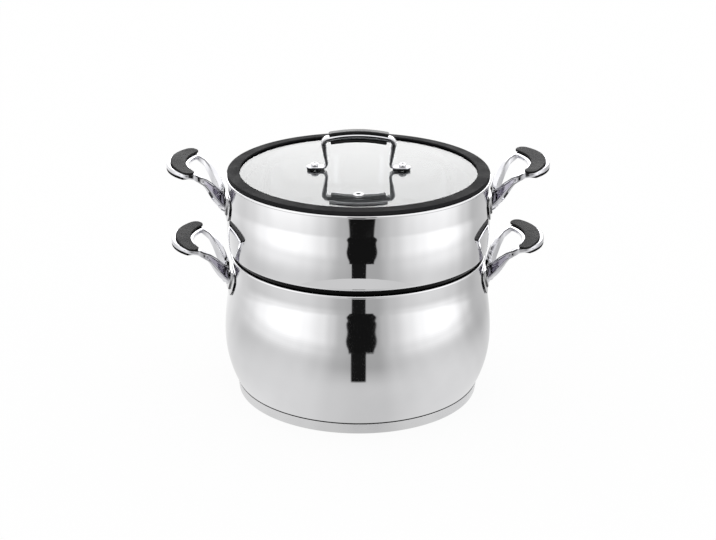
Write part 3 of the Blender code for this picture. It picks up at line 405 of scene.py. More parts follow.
def mixColour(tree, factor, first, second):
    made = node(tree, "ShaderNodeMix", data_type="RGBA")
    tree.links.new(factor, made.inputs[0])
    for index, value in ((6, first), (7, second)):
        if isinstance(value, tuple):
            made.inputs[index].default_value = value
        else:
            tree.links.new(value, made.inputs[index])
    return made.outputs[2]


def bumpNode(tree, height, distance, strength):
    made = node(tree, "ShaderNodeBump")
    made.inputs["Distance"].default_value = distance
    made.inputs["Strength"].default_value = strength
    tree.links.new(height, made.inputs["Height"])
    return made.outputs[0]


finishes = {
    "mirrorSteel": {"bright": (0.80, 0.80, 0.81, 1), "dim": (0.76, 0.76, 0.77, 1), "rough": (0.035, 0.075), "bump": 0.010},
    "potSteel": {"bright": (0.80, 0.80, 0.81, 1), "dim": (0.76, 0.76, 0.77, 1), "rough": (0.035, 0.075), "bump": 0.010},
    "satinSteel": {"bright": (0.76, 0.76, 0.765, 1), "dim": (0.69, 0.69, 0.70, 1), "rough": (0.16, 0.28), "bump": 0.05},
    "castSteel": {"bright": (0.78, 0.78, 0.80, 1), "dim": (0.70, 0.70, 0.735, 1), "rough": (0.05, 0.13), "bump": 0.012,
                  "recessShade": (0.46, 0.44, 0.51, 1)},
    "smallSteel": {"bright": (0.78, 0.78, 0.79, 1), "dim": (0.68, 0.68, 0.70, 1), "rough": (0.07, 0.17), "bump": 0.03},
    "gripRubber": {"dark": (0.050, 0.050, 0.051, 1), "pale": (0.072, 0.072, 0.073, 1), "dust": (0.16, 0.16, 0.16, 1),
                   "rough": (0.60, 0.76), "bump": 0.16, "gloss": 0.12},
    "archRubber": {"dark": (0.030, 0.030, 0.031, 1), "pale": (0.046, 0.046, 0.047, 1), "dust": (0.16, 0.16, 0.16, 1),
                   "rough": (0.40, 0.50), "bump": 0.12, "gloss": 0.42},
    "bandRubber": {"dark": (0.011, 0.011, 0.012, 1), "pale": (0.020, 0.020, 0.021, 1), "dust": (0.10, 0.10, 0.10, 1),
                   "rough": (0.50, 0.66), "bump": 0.14, "gloss": 0.04},
    "smallRubber": {"dark": (0.008, 0.008, 0.009, 1), "pale": (0.014, 0.014, 0.015, 1), "dust": (0.06, 0.06, 0.06, 1),
                    "rough": (0.55, 0.70), "bump": 0.10, "gloss": 0.10},
}


# Bright metal: the marks move roughness and colour a little and tilt the surface very slightly
def steelMaterial(name, groupName, shadeBand=None, **groupValues):
    setting = finishes[name]
    material, tree, shader = newMaterial(name, Metallic=1.0)
    marks = placeGroup(tree, groups[groupName], **groupValues)
    colour = mixColour(tree, marks.outputs["Haze"], setting["bright"], setting["dim"])
    # darker violet-grey in the cast web's pocket: painted shade
    if "recessShade" in setting:
        colour = mixColour(tree, maskNode(tree, "recessShade"), colour, setting["recessShade"])
    # the line mask darkens edges, gaps, sockets and bores: painted shade and dark reflections
    colour = mixColour(tree, maskNode(tree, "line"), colour, (0.012, 0.012, 0.013, 1))
    if shadeBand:
        colour = mixColour(tree, crevice(tree, *shadeBand), colour, (0.006, 0.006, 0.006, 1))
    tree.links.new(colour, shader.inputs["Base Color"])
    low, high = setting["rough"]
    both = mathNode(tree, "MULTIPLY_ADD", marks.outputs["Lines"], 0.5, mathNode(tree, "MULTIPLY", marks.outputs["Haze"], 0.5))
    tree.links.new(mapRange(tree, both, 0.2, 0.8, low, high, False), shader.inputs["Roughness"])
    tree.links.new(bumpNode(tree, marks.outputs["Lines"], 0.0002, setting["bump"]), shader.inputs["Normal"])
    return material


# Matt black silicone: mould grain, dust specks and, on the band, the two joints of its strip
def rubberMaterial(name, seamLine=False):
    setting = finishes[name]
    material, tree, shader = newMaterial(name, Metallic=0.0, IOR=1.41, Specular_IOR_Level=setting["gloss"])
    grain = placeGroup(tree, groups["mouldGrain"])
    colour = mixColour(tree, grain.outputs["Cloud"], setting["dark"], setting["pale"])
    height = grain.outputs["Height"]
    if seamLine:
        split = node(tree, "ShaderNodeSeparateXYZ")
        tree.links.new(node(tree, "ShaderNodeTexCoord").outputs["Object"], split.inputs[0])
        across = mathNode(tree, "MULTIPLY_ADD", mathNode(tree, "ABSOLUTE", split.outputs[0]), -0.052, split.outputs[1])
        seam = mapRange(tree, mathNode(tree, "ABSOLUTE", across), 0.0004, 0.0010, 1.0, 0.0)
        # a lighter line beside each joint: painted highlight
        lit = mapRange(tree, mathNode(tree, "ABSOLUTE", mathNode(tree, "SUBTRACT", across, 0.0017)), 0.0004, 0.0011, 0.6, 0.0)
        colour = mixColour(tree, lit, colour, (0.060, 0.060, 0.062, 1))
        colour = mixColour(tree, seam, colour, (0.002, 0.002, 0.002, 1))
        height = mathNode(tree, "SUBTRACT", height, mathNode(tree, "MULTIPLY", seam, 3.0))
    colour = mixColour(tree, mathNode(tree, "MULTIPLY", grain.outputs["Dust"], 0.5), colour, setting["dust"])
    # the line mask darkens the grips' sides and tips and the parts under them: painted shade
    colour = mixColour(tree, maskNode(tree, "line"), colour, (0.003, 0.003, 0.003, 1))
    tree.links.new(colour, shader.inputs["Base Color"])
    low, high = setting["rough"]
    tree.links.new(mapRange(tree, grain.outputs["Cloud"], 0.3, 0.7, low, high), shader.inputs["Roughness"])
    tree.links.new(bumpNode(tree, height, 0.0002, setting["bump"]), shader.inputs["Normal"])
    return material


# Clear tempered glass with a faint cool tint and a trace of haze from wiping
def glassMaterial():
    material, tree, shader = newMaterial("lidGlass", Metallic=0.0, Transmission_Weight=1.0, IOR=1.52)
    coordinates = node(tree, "ShaderNodeTexCoord").outputs["Object"]
    wipe = node(tree, "ShaderNodeMapping")
    wipe.inputs["Scale"].default_value = (6.0, 30.0, 6.0)
    wipe.inputs["Rotation"].default_value = (0.0, 0.0, 0.5)
    tree.links.new(coordinates, wipe.inputs["Vector"])
    haze = noiseNode(tree, wipe.outputs[0], 1.0, 4.0, 0.6)
    tree.links.new(mixColour(tree, haze, (0.90, 0.92, 0.915, 1), (0.84, 0.87, 0.87, 1)), shader.inputs["Base Color"])
    tree.links.new(mapRange(tree, haze, 0.45, 0.8, 0.0, 0.035), shader.inputs["Roughness"])
    return material


groups = buildGroups()
materials = {
    "mirrorSteel": steelMaterial("mirrorSteel", "turnedPolish", (0.1497, 0.1558, 0.1285), Stretch=2.0, Fineness=1400.0),
    "potSteel": steelMaterial("potSteel", "turnedPolish", (0.0100, 0.0124, 0.1200), Stretch=2.0, Fineness=1400.0),
    "satinSteel": steelMaterial("satinSteel", "turnedPolish", Stretch=3.0, Fineness=2600.0),
    "castSteel": steelMaterial("castSteel", "handPolish", Fineness=500.0),
    "smallSteel": steelMaterial("smallSteel", "handPolish", Fineness=1200.0),
    "gripRubber": rubberMaterial("gripRubber"),
    "archRubber": rubberMaterial("archRubber"),
    "smallRubber": rubberMaterial("smallRubber"),
    "bandRubber": rubberMaterial("bandRubber", seamLine=True),
    "lidGlass": glassMaterial(),
}
print("materials ready:", len(materials))


# Give a piece its finish, its body and the CAD nodes that it stands for
def dress(piece, material, body, slot, *nodes):
    piece.data.materials.clear()
    piece.data.materials.append(materials[material])
    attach(piece, body)
    if nodes:
        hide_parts(*nodes)
    return piece


# Pot and base

pot = {
    "rimRadius": 0.1322, "neckHeight": 0.1369, "bellyRadius": 0.1393, "bellyHeight": 0.0640,
    "footRadius": 0.1269, "roundShare": 0.79, "floor": 0.0109, "footCorner": 0.0015,
}
base = {"height": 0.0111, "topRadius": 0.1270, "bottomRadius": 0.1257, "sheet": 0.0006, "corner": 0.0012}


# Closed profile: up the inner side, over the bead and down the outer side
def vesselProfile(outside, bead):
    outer = np.vstack([bead[-1:], outside])
    inner = inset(outer, levels["sheet"])
    inner[:, 0] = np.maximum(inner[:, 0], 0.0)
    return np.vstack([inner[:0:-1], bead, outside])


# Neck, double arc to the belly, arc to the foot, then the flat floor
def potOutside():
    neck = (pot["rimRadius"] - levels["bead"] + levels["sheet"], pot["neckHeight"])
    belly = (pot["bellyRadius"], pot["bellyHeight"])
    foot = (pot["footRadius"], pot["floor"] + pot["footCorner"])
    body = np.vstack([doubleArc(neck, belly, pot["roundShare"], 26), arcFromUpright(belly, foot, 34)[1:]])
    rounded = roundCorner(foot, (pot["footRadius"] - 0.0003, pot["floor"]), (0, pot["floor"]), 0.0012, 8)
    return refined(np.vstack([body, rounded[1:], [(0, pot["floor"])]]))


def buildPot():
    profile = vesselProfile(potOutside(), beadArc(pot["rimRadius"], levels["potRim"]))
    shell = addObject("potShell", *turned(refined(profile), 256), sharpDegrees=60)
    dress(shell, "potSteel", "pot", "polished_steel", "pot_body")
    corner = roundCorner((base["topRadius"], base["height"]), (base["bottomRadius"], 0), (0, 0), base["corner"])
    lip = roundCorner((0, base["height"]), (base["topRadius"], base["height"]), (base["bottomRadius"], 0), 0.00025, 5)
    outer = np.vstack([lip, corner, [(0, 0)]])
    inner = inset(np.vstack([[(base["topRadius"], base["height"])], corner, [(0, 0)]]), base["sheet"])
    inner[:, 0] = np.maximum(inner[:, 0], 0.0)
    capsule = addObject("baseCapsule", *turned(refined(np.vstack([inner[::-1], outer])), 256), sharpDegrees=60)
    dress(capsule, "satinSteel", "pot", "satin_steel", "base_capsule")
    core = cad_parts["base_core"]
    core.data.materials.clear()
    core.data.materials.append(materials["satinSteel"])


# Steamer

steamer = {
    "rimRadius": 0.1355, "neck": 0.2123, "bellyRadius": 0.1351, "belly": 0.1800, "shoulderRadius": 0.1342,
    "shoulder": 0.1615, "underside": 0.1554, "corner": 0.0035, "floor": 0.1293, "taperDegrees": 15.0,
    "plugFillet": 0.0010, "plugCorner": 0.0050, "roundShare": 0.79,
    "hole": 0.0050, "pitch": 0.0220, "rings": 4, "perRing": 6,
}


# Cone that clears the pot's bead by the air gap: its radius grows with height by the taper's tangent
def plugRadius(height):
    taper = math.radians(steamer["taperDegrees"])
    half = levels["bead"] / 2
    spacing = half + levels["air"]
    radius = pot["rimRadius"] - half - spacing * math.cos(taper)
    contact = levels["potRim"] - half + spacing * math.sin(taper)
    return radius + (height - contact) * math.tan(taper)


def steamerOutside():
    s = steamer
    neck = (s["rimRadius"] - levels["bead"] + levels["sheet"], s["neck"])
    belly, shoulder = (s["bellyRadius"], s["belly"]), (s["shoulderRadius"], s["shoulder"])
    lean = 2 * math.atan2(belly[0] - shoulder[0], belly[1] - shoulder[1])
    corner = (shoulder[0] - (shoulder[1] - s["underside"]) * math.tan(lean), s["underside"])
    plugTop, plugFoot = (plugRadius(s["underside"]), s["underside"]), (plugRadius(s["floor"]), s["floor"])
    path = np.vstack([
        doubleArc(neck, belly, s["roundShare"], 16),
        arcFromUpright(belly, shoulder, 12)[1:-1],
        roundCorner(belly, corner, plugTop, s["corner"], 12),
        roundCorner(corner, plugTop, plugFoot, s["plugFillet"], 8),
        roundCorner(plugTop, plugFoot, (0, s["floor"]), s["plugCorner"], 12),
    ])
    # two roundings that meet leave a step back, which an inset would stretch into a flange
    step = np.diff(path, axis=0)
    return refined(path[np.r_[True, np.einsum("ij,ij->i", step[1:], step[:-1]) >= 0, True]])


# Round punches on rings: ring k holds six times k holes, half a step off the X axis
def sieveCutter():
    s = steamer
    sides = 20
    centres = [(0.0, 0.0)]
    for ring in range(1, s["rings"] + 1):
        a = 2 * math.pi * (np.arange(s["perRing"] * ring) + 0.5) / (s["perRing"] * ring)
        centres += list(zip(s["pitch"] * ring * np.cos(a), s["pitch"] * ring * np.sin(a)))
    a = np.linspace(0, 2 * math.pi, sides, endpoint=False)
    shells = []
    for x, y in centres:
        ring = np.stack([x + s["hole"] / 2 * np.cos(a), y + s["hole"] / 2 * np.sin(a)], 1)
        low, high = s["floor"] - 0.003, s["floor"] + 0.004
        points = np.vstack([np.c_[ring, np.full(sides, low)], np.c_[ring, np.full(sides, high)], [(x, y, low), (x, y, high)]])
        shells.append(oriented(points, [gridQuads(2, sides), capFan(0, sides, 2 * sides, True), capFan(1, sides, 2 * sides + 1, False)]))
    return joined(shells)


# The wall is one ring shell down to the flat floor, and the punched floor closes it
def buildSteamer():
    outside = steamerOutside()
    bead = beadArc(steamer["rimRadius"], levels["steamerRim"])
    inner = inset(np.vstack([bead[-1:], outside]), levels["sheet"])
    profile = np.vstack([inner[:0:-1], bead, outside])
    wall = addObject("steamerWall", *turned(refined(profile), 256), sharpDegrees=60)
    dress(wall, "mirrorSteel", "steamer", "polished_steel", "steamer_body")
    edge, low = outside[-1]
    high = inner[-1, 1]
    disc = refined(np.array([(0, high), (edge, high), (edge, low), (0, low)]), longest=0.02)
    floor = addObject("steamerFloor", *turned(disc, 256))
    cutWith(floor, *sieveCutter())
    dress(floor, "mirrorSteel", "steamer", "polished_steel")


buildPot()
buildSteamer()
print("vessels ready")


# Side handles, in their own frame: X away from the wall, zero at the bracket's face

handle = {
    "footWidth": 0.0225, "footHeight": 0.0205, "footDrop": 0.0128, "footThickness": 0.0047, "footEdge": 0.0008, "footDraft": 0.0022,
    "footCorners": (0.0036, 0.0036, 0.0044, 0.0044),
    "lean": {"pot": 11.0, "steamer": 5.0},
    "strapHalf": 0.0330, "strapMiddle": 0.0215, "strapTop": 0.0078, "strapDrop": 0.0150, "strapClose": 0.0070,
    "strapRaise": 0.0027, "strapRaised": 0.0108, "strapSheet": 0.0012, "strapEdge": 0.0008,
    "reach": 0.0578, "rise": 0.0402, "tiltDegrees": 6.0, "thickness": 0.0050,
    "ledge": 0.0037, "tipLap": 0.0040, "innerLedge": 0.0033, "edge": 0.0016,
    "armWidth": 0.0070, "footSpread": 0.0076, "footReach": 0.0030, "webDepth": 0.0184, "pocket": 0.0016,
    "arc": 0.0640, "span": 0.0866, "gripWidth": 0.0157, "tipWidth": 0.0140,
    "lipInset": 0.0006, "lipInner": 0.60, "lipEnd": 0.94, "tipTurn": 3,
    "proud": 0.0023, "under": 0.0018, "gripEdge": 0.0010,
    "screw": 0.0072, "screwHeight": 0.0024, "socket": 0.0034, "dots": (22, 25),
}
# from the ring's tip to the foot: distance, spread, top height and depth of an arm, as shares
armShares = np.array([
    (1.00, 1.00, 1.00, 0.04), (0.89, 1.01, 0.96, 0.14), (0.77, 1.00, 0.89, 0.18), (0.63, 0.96, 0.82, 0.27),
    (0.51, 0.87, 0.72, 0.42), (0.39, 0.75, 0.59, 0.60), (0.27, 0.58, 0.44, 0.78), (0.15, 0.36, 0.27, 0.92),
    (0.05, 0.14, 0.12, 0.98), (0.00, 0.00, 0.00, 1.00),
])
# height of the foot's middle
mounts = {"pot": levels["potRim"] - 0.0246, "steamer": levels["steamerRim"] - 0.0271}


# Frame of the ring's top face, which climbs outwards by the tilt about the grip's middle
def ringFrame():
    h = handle
    middle = h["reach"] - h["ledge"] - h["gripWidth"] / 2
    tilt = Matrix.Rotation(-math.radians(h["tiltDegrees"]), 4, "Y")
    return Matrix.Translation((middle, 0, h["rise"])) @ tilt @ Matrix.Translation((-middle, 0, 0))


# Centre arc of the grip: its point, outward direction and half angle for shares -1 to 1
def crescentLine(share):
    h = handle
    halfAngle = math.asin((h["span"] - h["tipWidth"]) / 2 / h["arc"])
    centre = h["reach"] - h["ledge"] - h["gripWidth"] / 2 - h["arc"]
    a = halfAngle * share
    out = np.stack([np.cos(a), np.sin(a), np.zeros_like(a)], -1)
    return np.array([centre, 0, 0]) + h["arc"] * out, out, halfAngle


# Crescent pad: a rounded slab whose half width closes as a half circle at each tip. Along the arc by s, round
# the section by t; within an edge's length of the rim the section thins by a quarter circle
def padShell(span, width, tipWidth, low, high, edge, crown=0.0):
    h = handle
    halfAngle = math.asin((span - tipWidth) / 2 / h["arc"])
    centre = h["reach"] - h["ledge"] - h["gripWidth"] / 2 - h["arc"]
    tip = tipWidth / 2
    length = h["arc"] * halfAngle
    body = np.linspace(-length, length, 61)
    ends = tip - tip * np.cos(np.linspace(0, math.pi / 2, 18))[:-1]
    along = np.r_[-length - tip + ends[1:], body, (length + tip - ends[1:])[::-1]]
    past = np.clip(np.abs(along) - length, 0, tip)
    share = np.clip(along / length, -1, 1)
    half = (tipWidth + (width - tipWidth) * (1 - share ** 2)) / 2
    half = np.where(past > 0, np.sqrt(np.maximum(tip ** 2 - past ** 2, 0)), half)
    fromTip = length + tip - np.abs(along)
    thin = np.sqrt(np.clip(1 - (1 - np.clip(fromTip / edge, 0, 1)) ** 2, 0, 1))
    thick = (high - low) * (0.35 + 0.65 * thin)
    angle = along / h["arc"]
    out = np.stack([np.cos(angle), np.sin(angle), np.zeros_like(angle)], 1)
    middle = np.array([centre, 0, (high + low) / 2]) + h["arc"] * out
    up = np.tile([0.0, 0.0, 1.0], (len(along), 1))
    template = sectionTemplate(3, 13, 6)
    points, faces = sweptBar(middle, out, up, np.maximum(2 * half, 0.0006), thick, edge, template=template)
    if crown:
        top = points[:, 2] > (high + low) / 2
        radial = np.hypot(points[:, 0] - centre, points[:, 1]) - h["arc"]
        points[:, 2] += np.where(top, crown * np.clip(1 - (radial / (width / 2)) ** 2, 0, 1) - crown, 0)
    # painted shade on the pad's sides and near its tips
    flank = np.clip((np.abs(template[2]) - 0.20) / 0.3, 0, 1)[None]
    close = np.clip(1.3 - fromTip / (0.6 * edge), 0, 1)[:, None]
    return points, faces, np.r_[np.maximum(flank, close).ravel(), 1, 1]


# Lip below the ring: from a little inside the ring's outer edge to part of the way in
def lipShell():
    h = handle
    share = np.linspace(-h["lipEnd"], h["lipEnd"], 61)
    line, out, _ = crescentLine(share)
    half = (h["tipWidth"] + (h["gripWidth"] - h["tipWidth"]) * (1 - share ** 2)) / 2
    outer = half + h["ledge"] - (h["ledge"] + h["tipLap"]) * np.abs(share) ** h["tipTurn"] - h["lipInset"]
    inner = -half * h["lipInner"]
    low = -h["thickness"] - levels["air"] - h["under"] / 2
    middle = line + out * ((outer + inner) / 2)[:, None] + [0, 0, low]
    up = np.tile([0.0, 0.0, 1.0], (len(share), 1))
    return sweptBar(middle, out, up, outer - inner, h["under"], 0.0006, template=sectionTemplate(3, 7, 5))


# Half ring and arm as one bar of changing section, mirrored, plus the foot plate
def castingShell(lean):
    h = handle
    place = ringFrame()
    share = np.linspace(0, 1, 26)
    line, out, _ = crescentLine(share)
    half = (h["tipWidth"] + (h["gripWidth"] - h["tipWidth"]) * (1 - share ** 2)) / 2
    ledge = h["ledge"] - (h["ledge"] + h["tipLap"]) * share ** h["tipTurn"]
    outer = moved(line + out * (half + ledge)[:, None], place)
    inner = moved(line - out * (half + h["innerLedge"])[:, None], place)
    tipOut = outer[-1] - inner[-1]
    tipOut /= np.linalg.norm(tipOut)
    foot = np.array([h["footReach"], h["footSpread"], h["footHeight"] / 2])
    run = inner[-1] + tipOut * h["armWidth"] / 2 - foot
    shares = smoothPath(armShares, 72)
    centres = foot + shares[:, :3] * run
    path = np.gradient(centres, axis=0)
    across = np.stack([path[:, 1], -path[:, 0], np.zeros(len(path))], 1)
    across /= np.linalg.norm(across, axis=1)[:, None]
    across *= np.sign(across[:, 1:2] * 1.0 + 1e-9)
    depth = h["thickness"] + (h["webDepth"] - h["thickness"]) * np.clip(shares[:, 3], 0, 1)
    armOuter, armInner = centres + across * h["armWidth"] / 2, centres - across * h["armWidth"] / 2
    square = np.array(place.to_3x3()) @ np.array([0, 0, -1.0])
    turn = np.clip(np.arange(len(shares)) / 14.0, 0, 1)[:, None]
    down = np.vstack([np.tile(square, (len(share), 1)), square * (1 - turn) + np.array([0, 0, -1.0]) * turn])
    down /= np.linalg.norm(down, axis=1)[:, None]
    topOuter, topInner = np.vstack([outer, armOuter[2:]]), np.vstack([inner, armInner[2:]])
    down = np.delete(down, [len(share), len(share) + 1], axis=0)
    depths = np.r_[h["thickness"] + (depth[2] - h["thickness"]) * np.clip((share - 0.8) / 0.2, 0, 1) ** 2, depth[2:]]
    kernel = np.array([1, 2, 3, 2, 1]) / 9.0
    for values in (topOuter, topInner):          # ease the step from the ring into the arm
        for axis in range(3):
            eased = np.convolve(np.pad(values[:, axis], 2, "edge"), kernel, "valid")
            band = slice(len(share) - 6, len(share) + 8)
            values[band, axis] = eased[band]
    side = topOuter - topInner
    width = np.linalg.norm(side, axis=1)
    side /= width[:, None]
    middle = (topOuter + topInner) / 2 + down * depths[:, None] / 2
    along = np.arange(len(depths)) - len(share)
    last = len(depths) - len(share)
    fade = np.clip((along - 12) / 10.0, 0, 1) * np.clip((last - 3 - along) / 4.0, 0, 1)
    fade *= np.clip((depths - 0.0070) / 0.0040, 0, 1)
    template = sectionTemplate(21, 7, 6)
    arm = sweptBar(middle, side, -down, width, depths, h["edge"], (h["pocket"] * fade)[:, None], template)

    # masks: painted shade in the web's pocket, and painted dark lines for shade and dark reflections on its borders, on
    # the outer top edge, on other corners of the arm and where the web meets the foot; two rows near the ring's tip get
    # dark dots
    cx, cz, dx, dz = template
    flat = dx > 0.99
    hollow = flat * np.clip((0.80 - np.abs(cz)) / 0.16, 0, 1)
    border = flat * np.clip(1 - np.abs(np.abs(cz) - 0.74) / 0.09, 0, 1)
    corner = (cx > 0) * (cz > 0.99) * np.clip(1.7 - np.abs(dx - 0.78) / 0.3, 0, 1) * (dz > 0.05)
    others = (dx < -0.05) * (dz > 0.05) * 0.6 + (dx > 0.05) * (dz < -0.05) * 0.45
    onArm = np.clip((along - 4) / 4.0, 0, 1) * np.clip((last - 22 - along) / 14.0, 0, 1)
    joint = np.clip((along - (last - 6)) / 3.0, 0, 1)[:, None] * (flat * np.clip((cz - 0.05) / 0.3, 0, 1))[None]
    line = np.maximum(0.72 * fade[:, None] * border[None], onArm[:, None] * np.maximum(0.9 * corner, others)[None])
    line = np.maximum(line, 0.95 * joint)
    for row in h["dots"]:
        line[row] = np.maximum(line[row], flat * np.clip(1.2 - np.abs(cz - 0.1) / 0.4, 0, 1))
    line = np.r_[line.ravel(), 0, 0]
    recessShade = np.r_[(fade[:, None] * hollow[None]).ravel(), 0, 0]
    plate, plateLine = footShell()
    plate = (moved(plate[0], Matrix.Rotation(math.radians(lean), 4, "Y")), plate[1])
    mirror = arm[0] * np.array([1, -1, 1])
    points, faces = joined([arm, oriented(mirror, [f.copy() for f in arm[1]]), plate])
    nothing = np.zeros(len(plate[0]))
    return points, faces, np.r_[line, line, plateLine], np.r_[recessShade, recessShade, nothing]


# Closed loop of evenly spaced points round a rectangle with round corners, from a list of corner radii
def roundedLoop(halfWidth, top, bottom, radii, count=112):
    corners = [(halfWidth, top), (-halfWidth, top), (-halfWidth, -bottom), (halfWidth, -bottom)]
    loop = np.vstack([roundCorner(corners[i - 1], corners[i], corners[(i + 1) % 4], radii[i], 14) for i in range(4)])
    loop = np.vstack([loop, loop[:1]])
    run = np.r_[0, np.cumsum(np.linalg.norm(np.diff(loop, axis=0), axis=1))]
    at = np.linspace(0, run[-1], count, endpoint=False)
    return np.stack([np.interp(at, run, loop[:, 0]), np.interp(at, run, loop[:, 1])], 1)


# A shell from rings of equal count between two poles
def ringShell(rings, first, last):
    points = np.stack(rings)
    rows, columns = points.shape[:2]
    flat = points.reshape(-1, 3)
    faces = [gridQuads(rows, columns), capFan(0, columns, len(flat), True), capFan(rows - 1, columns, len(flat) + 1, False)]
    return oriented(np.vstack([flat, [first, last]]), faces)


# Rounded plate with drafted sides: its outline shrinks evenly towards the front and by a quarter circle at both
# faces' edges; painted shade darkens it in the gap at its back
def footShell():
    h = handle
    loop = roundedLoop(h["footWidth"] / 2, h["footHeight"] / 2, h["footDrop"], h["footCorners"])
    half, e, thick, draft = h["footWidth"] / 2, h["footEdge"], h["footThickness"], h["footDraft"]
    a = np.linspace(0, math.pi / 2, 8)
    b = 0.0005
    slope = np.linspace(0, 1, 6)[1:]
    front = draft + e * (1 - np.cos(a[1:]))
    insetBy = np.r_[half * 0.9, half * 0.5, b + 0.0004, b * (1 - np.sin(a)), draft * slope, front, front[-1] + 0.0004, half * 0.5, half * 0.9]
    depth = np.r_[0, 0, 0, b * (1 - np.cos(a)), b + (thick - e - b) * slope, thick - e * (1 - np.sin(a[1:])), [thick] * 3]
    rings = [np.c_[np.full(len(loop), x), loop * (1 - d / half)] for x, d in zip(depth, insetBy)]
    shell = ringShell(rings, (0, 0, 0), (thick, 0, 0))
    # painted shade on the back face and its edge, where the plate meets the strap
    dark = np.clip(1.5 - depth / (1.2 * b), 0, 1)
    return shell, np.r_[np.repeat(dark, len(loop)), 1, 0]


# Welded strap in two layers: its back follows the wall, its middle is raised for the foot, its ends lie flat.
# Along Y by rows; a row's section runs from the wall outwards by the sheet, and closes in height at both ends
def strapShell(face, height, outside):
    h = handle
    order = np.argsort(outside[:, 1])
    half, middle, step = h["strapHalf"], h["strapMiddle"], 0.0012
    fine = np.linspace(middle - 0.0004, middle + step + 0.0004, 9)
    side = np.unique(np.r_[np.linspace(0, middle - 0.001, 12), fine, np.linspace(middle + step + 0.001, half, 16), half - 0.0003])
    y = np.r_[-side[:0:-1], side]
    past = np.clip(np.abs(y) - (half - h["strapClose"]), 0, h["strapClose"]) / h["strapClose"]
    closed = 1 - np.sqrt(np.maximum(1 - (0.96 * past) ** 2, 0))
    tall = (h["strapTop"] + h["strapDrop"]) * (1 - 0.92 * closed)
    mid = np.full_like(y, (h["strapTop"] - h["strapDrop"]) / 2)
    cx, cz, dx, dz = sectionTemplate(41, 5, 4)
    r = np.minimum(h["strapEdge"], np.minimum(h["strapSheet"], tall) * 0.48)[:, None]
    z = cz * (tall[:, None] / 2 - r) + dz * r + mid[:, None]
    # the raised middle ends above the strap's lower edge, lowest under the foot
    under = -h["strapRaised"] - 0.0025 * np.clip(1 - (y / middle) ** 2, 0, 1)
    raised = np.clip((middle + step - np.abs(y)) / step, 0, 1)[:, None] * np.clip((z - under[:, None]) / step, 0, 1)
    thick = h["strapSheet"] + (h["strapRaise"] - h["strapSheet"]) * raised ** 2 * (3 - 2 * raised)
    out = cx * (thick / 2 - r) + dx * r + thick / 2
    wall = np.interp(height + z, outside[order, 1], outside[order, 0]) + levels["air"]
    x = np.sqrt((wall + out) ** 2 - y[:, None] ** 2) - face
    points = np.stack([x, np.repeat(y[:, None], x.shape[1], 1), z], 2)
    rows, columns = x.shape
    flat = points.reshape(-1, 3)
    ends = np.array([points[0].mean(0), points[-1].mean(0)])
    faces = [gridQuads(rows, columns), capFan(0, columns, len(flat), True), capFan(rows - 1, columns, len(flat) + 1, False)]
    # painted shade: on the raised middle's step, darker towards the bottom, on the top and bottom faces outside the
    # middle, and at both ends
    weight = 0.45 + 0.45 * np.clip((0.002 - z) / 0.006, 0, 1)
    onStep = weight * ((raised > 0.02) & (raised < 0.98)) * (dx > 0)[None]
    rim = np.clip((np.abs(y) - middle - 0.004) / 0.003, 0, 1)[:, None] * (np.abs(dz) > 0.5)[None]
    atEnd = (np.abs(y) > half - 1e-6).astype(float)[:, None] * np.ones(columns)[None]
    line = np.maximum(np.maximum(onStep, 0.9 * rim), atEnd)
    return oriented(np.vstack([flat, ends]), faces), np.r_[line.ravel(), 1, 1]


# Domed head with a hexagon socket: the socket's radius is its half width over the cosine of the angle off a
# flat
def socketScrew(head, height, socket, shank, length, segments=48):
    a = np.linspace(0, 2 * math.pi, segments, endpoint=False)
    hexagon = 1 / np.cos((a + math.pi / 6) % (math.pi / 3) - math.pi / 6)
    dome = np.linspace(0, 1, 12)
    half = head / 2
    rows = [(socket / 2 * 0.75, height * 0.45, 1.0), (socket / 2 * 0.96, height * 0.47, 1.0), (socket / 2, height * 0.52, 1.0),
            (socket / 2, height * 0.94, 1.0), (socket / 2 + 0.00015, height * 0.985, 1.0)]
    start = (socket / 2 + 0.0005) / half
    for share in dome:
        angle = share * math.pi / 2
        radius = half * (start + (1 - start) * math.sin(angle))
        rows.append((radius, height * (0.30 + 0.70 * math.cos(angle)), 0.0))
    rows += [(half, height * 0.10, 0.0), (half - 0.0002, 0.0, 0.0), (shank / 2, 0.0, 0.0), (shank / 2, -length, 0.0)]
    radius, level, hexShare = (np.array(v)[:, None] for v in zip(*rows))
    r = radius * (1 + hexShare * (hexagon - 1))
    points = np.stack([r * np.cos(a), r * np.sin(a), np.repeat(level, segments, 1)], 2).reshape(-1, 3)
    poles = np.array([[0, 0, height * 0.42], [0, 0, -length]])
    n = len(rows)
    faces = [gridQuads(n, segments), capFan(0, segments, len(points), True), capFan(n - 1, segments, len(points) + 1, False)]
    # painted shade inside the hexagon socket
    dark = np.repeat([0.75 if row[2] and row[1] < height * 0.9 else 0.0 for row in rows], segments)
    return oriented(np.vstack([points, poles]), faces), np.r_[dark, 0.75, 0]


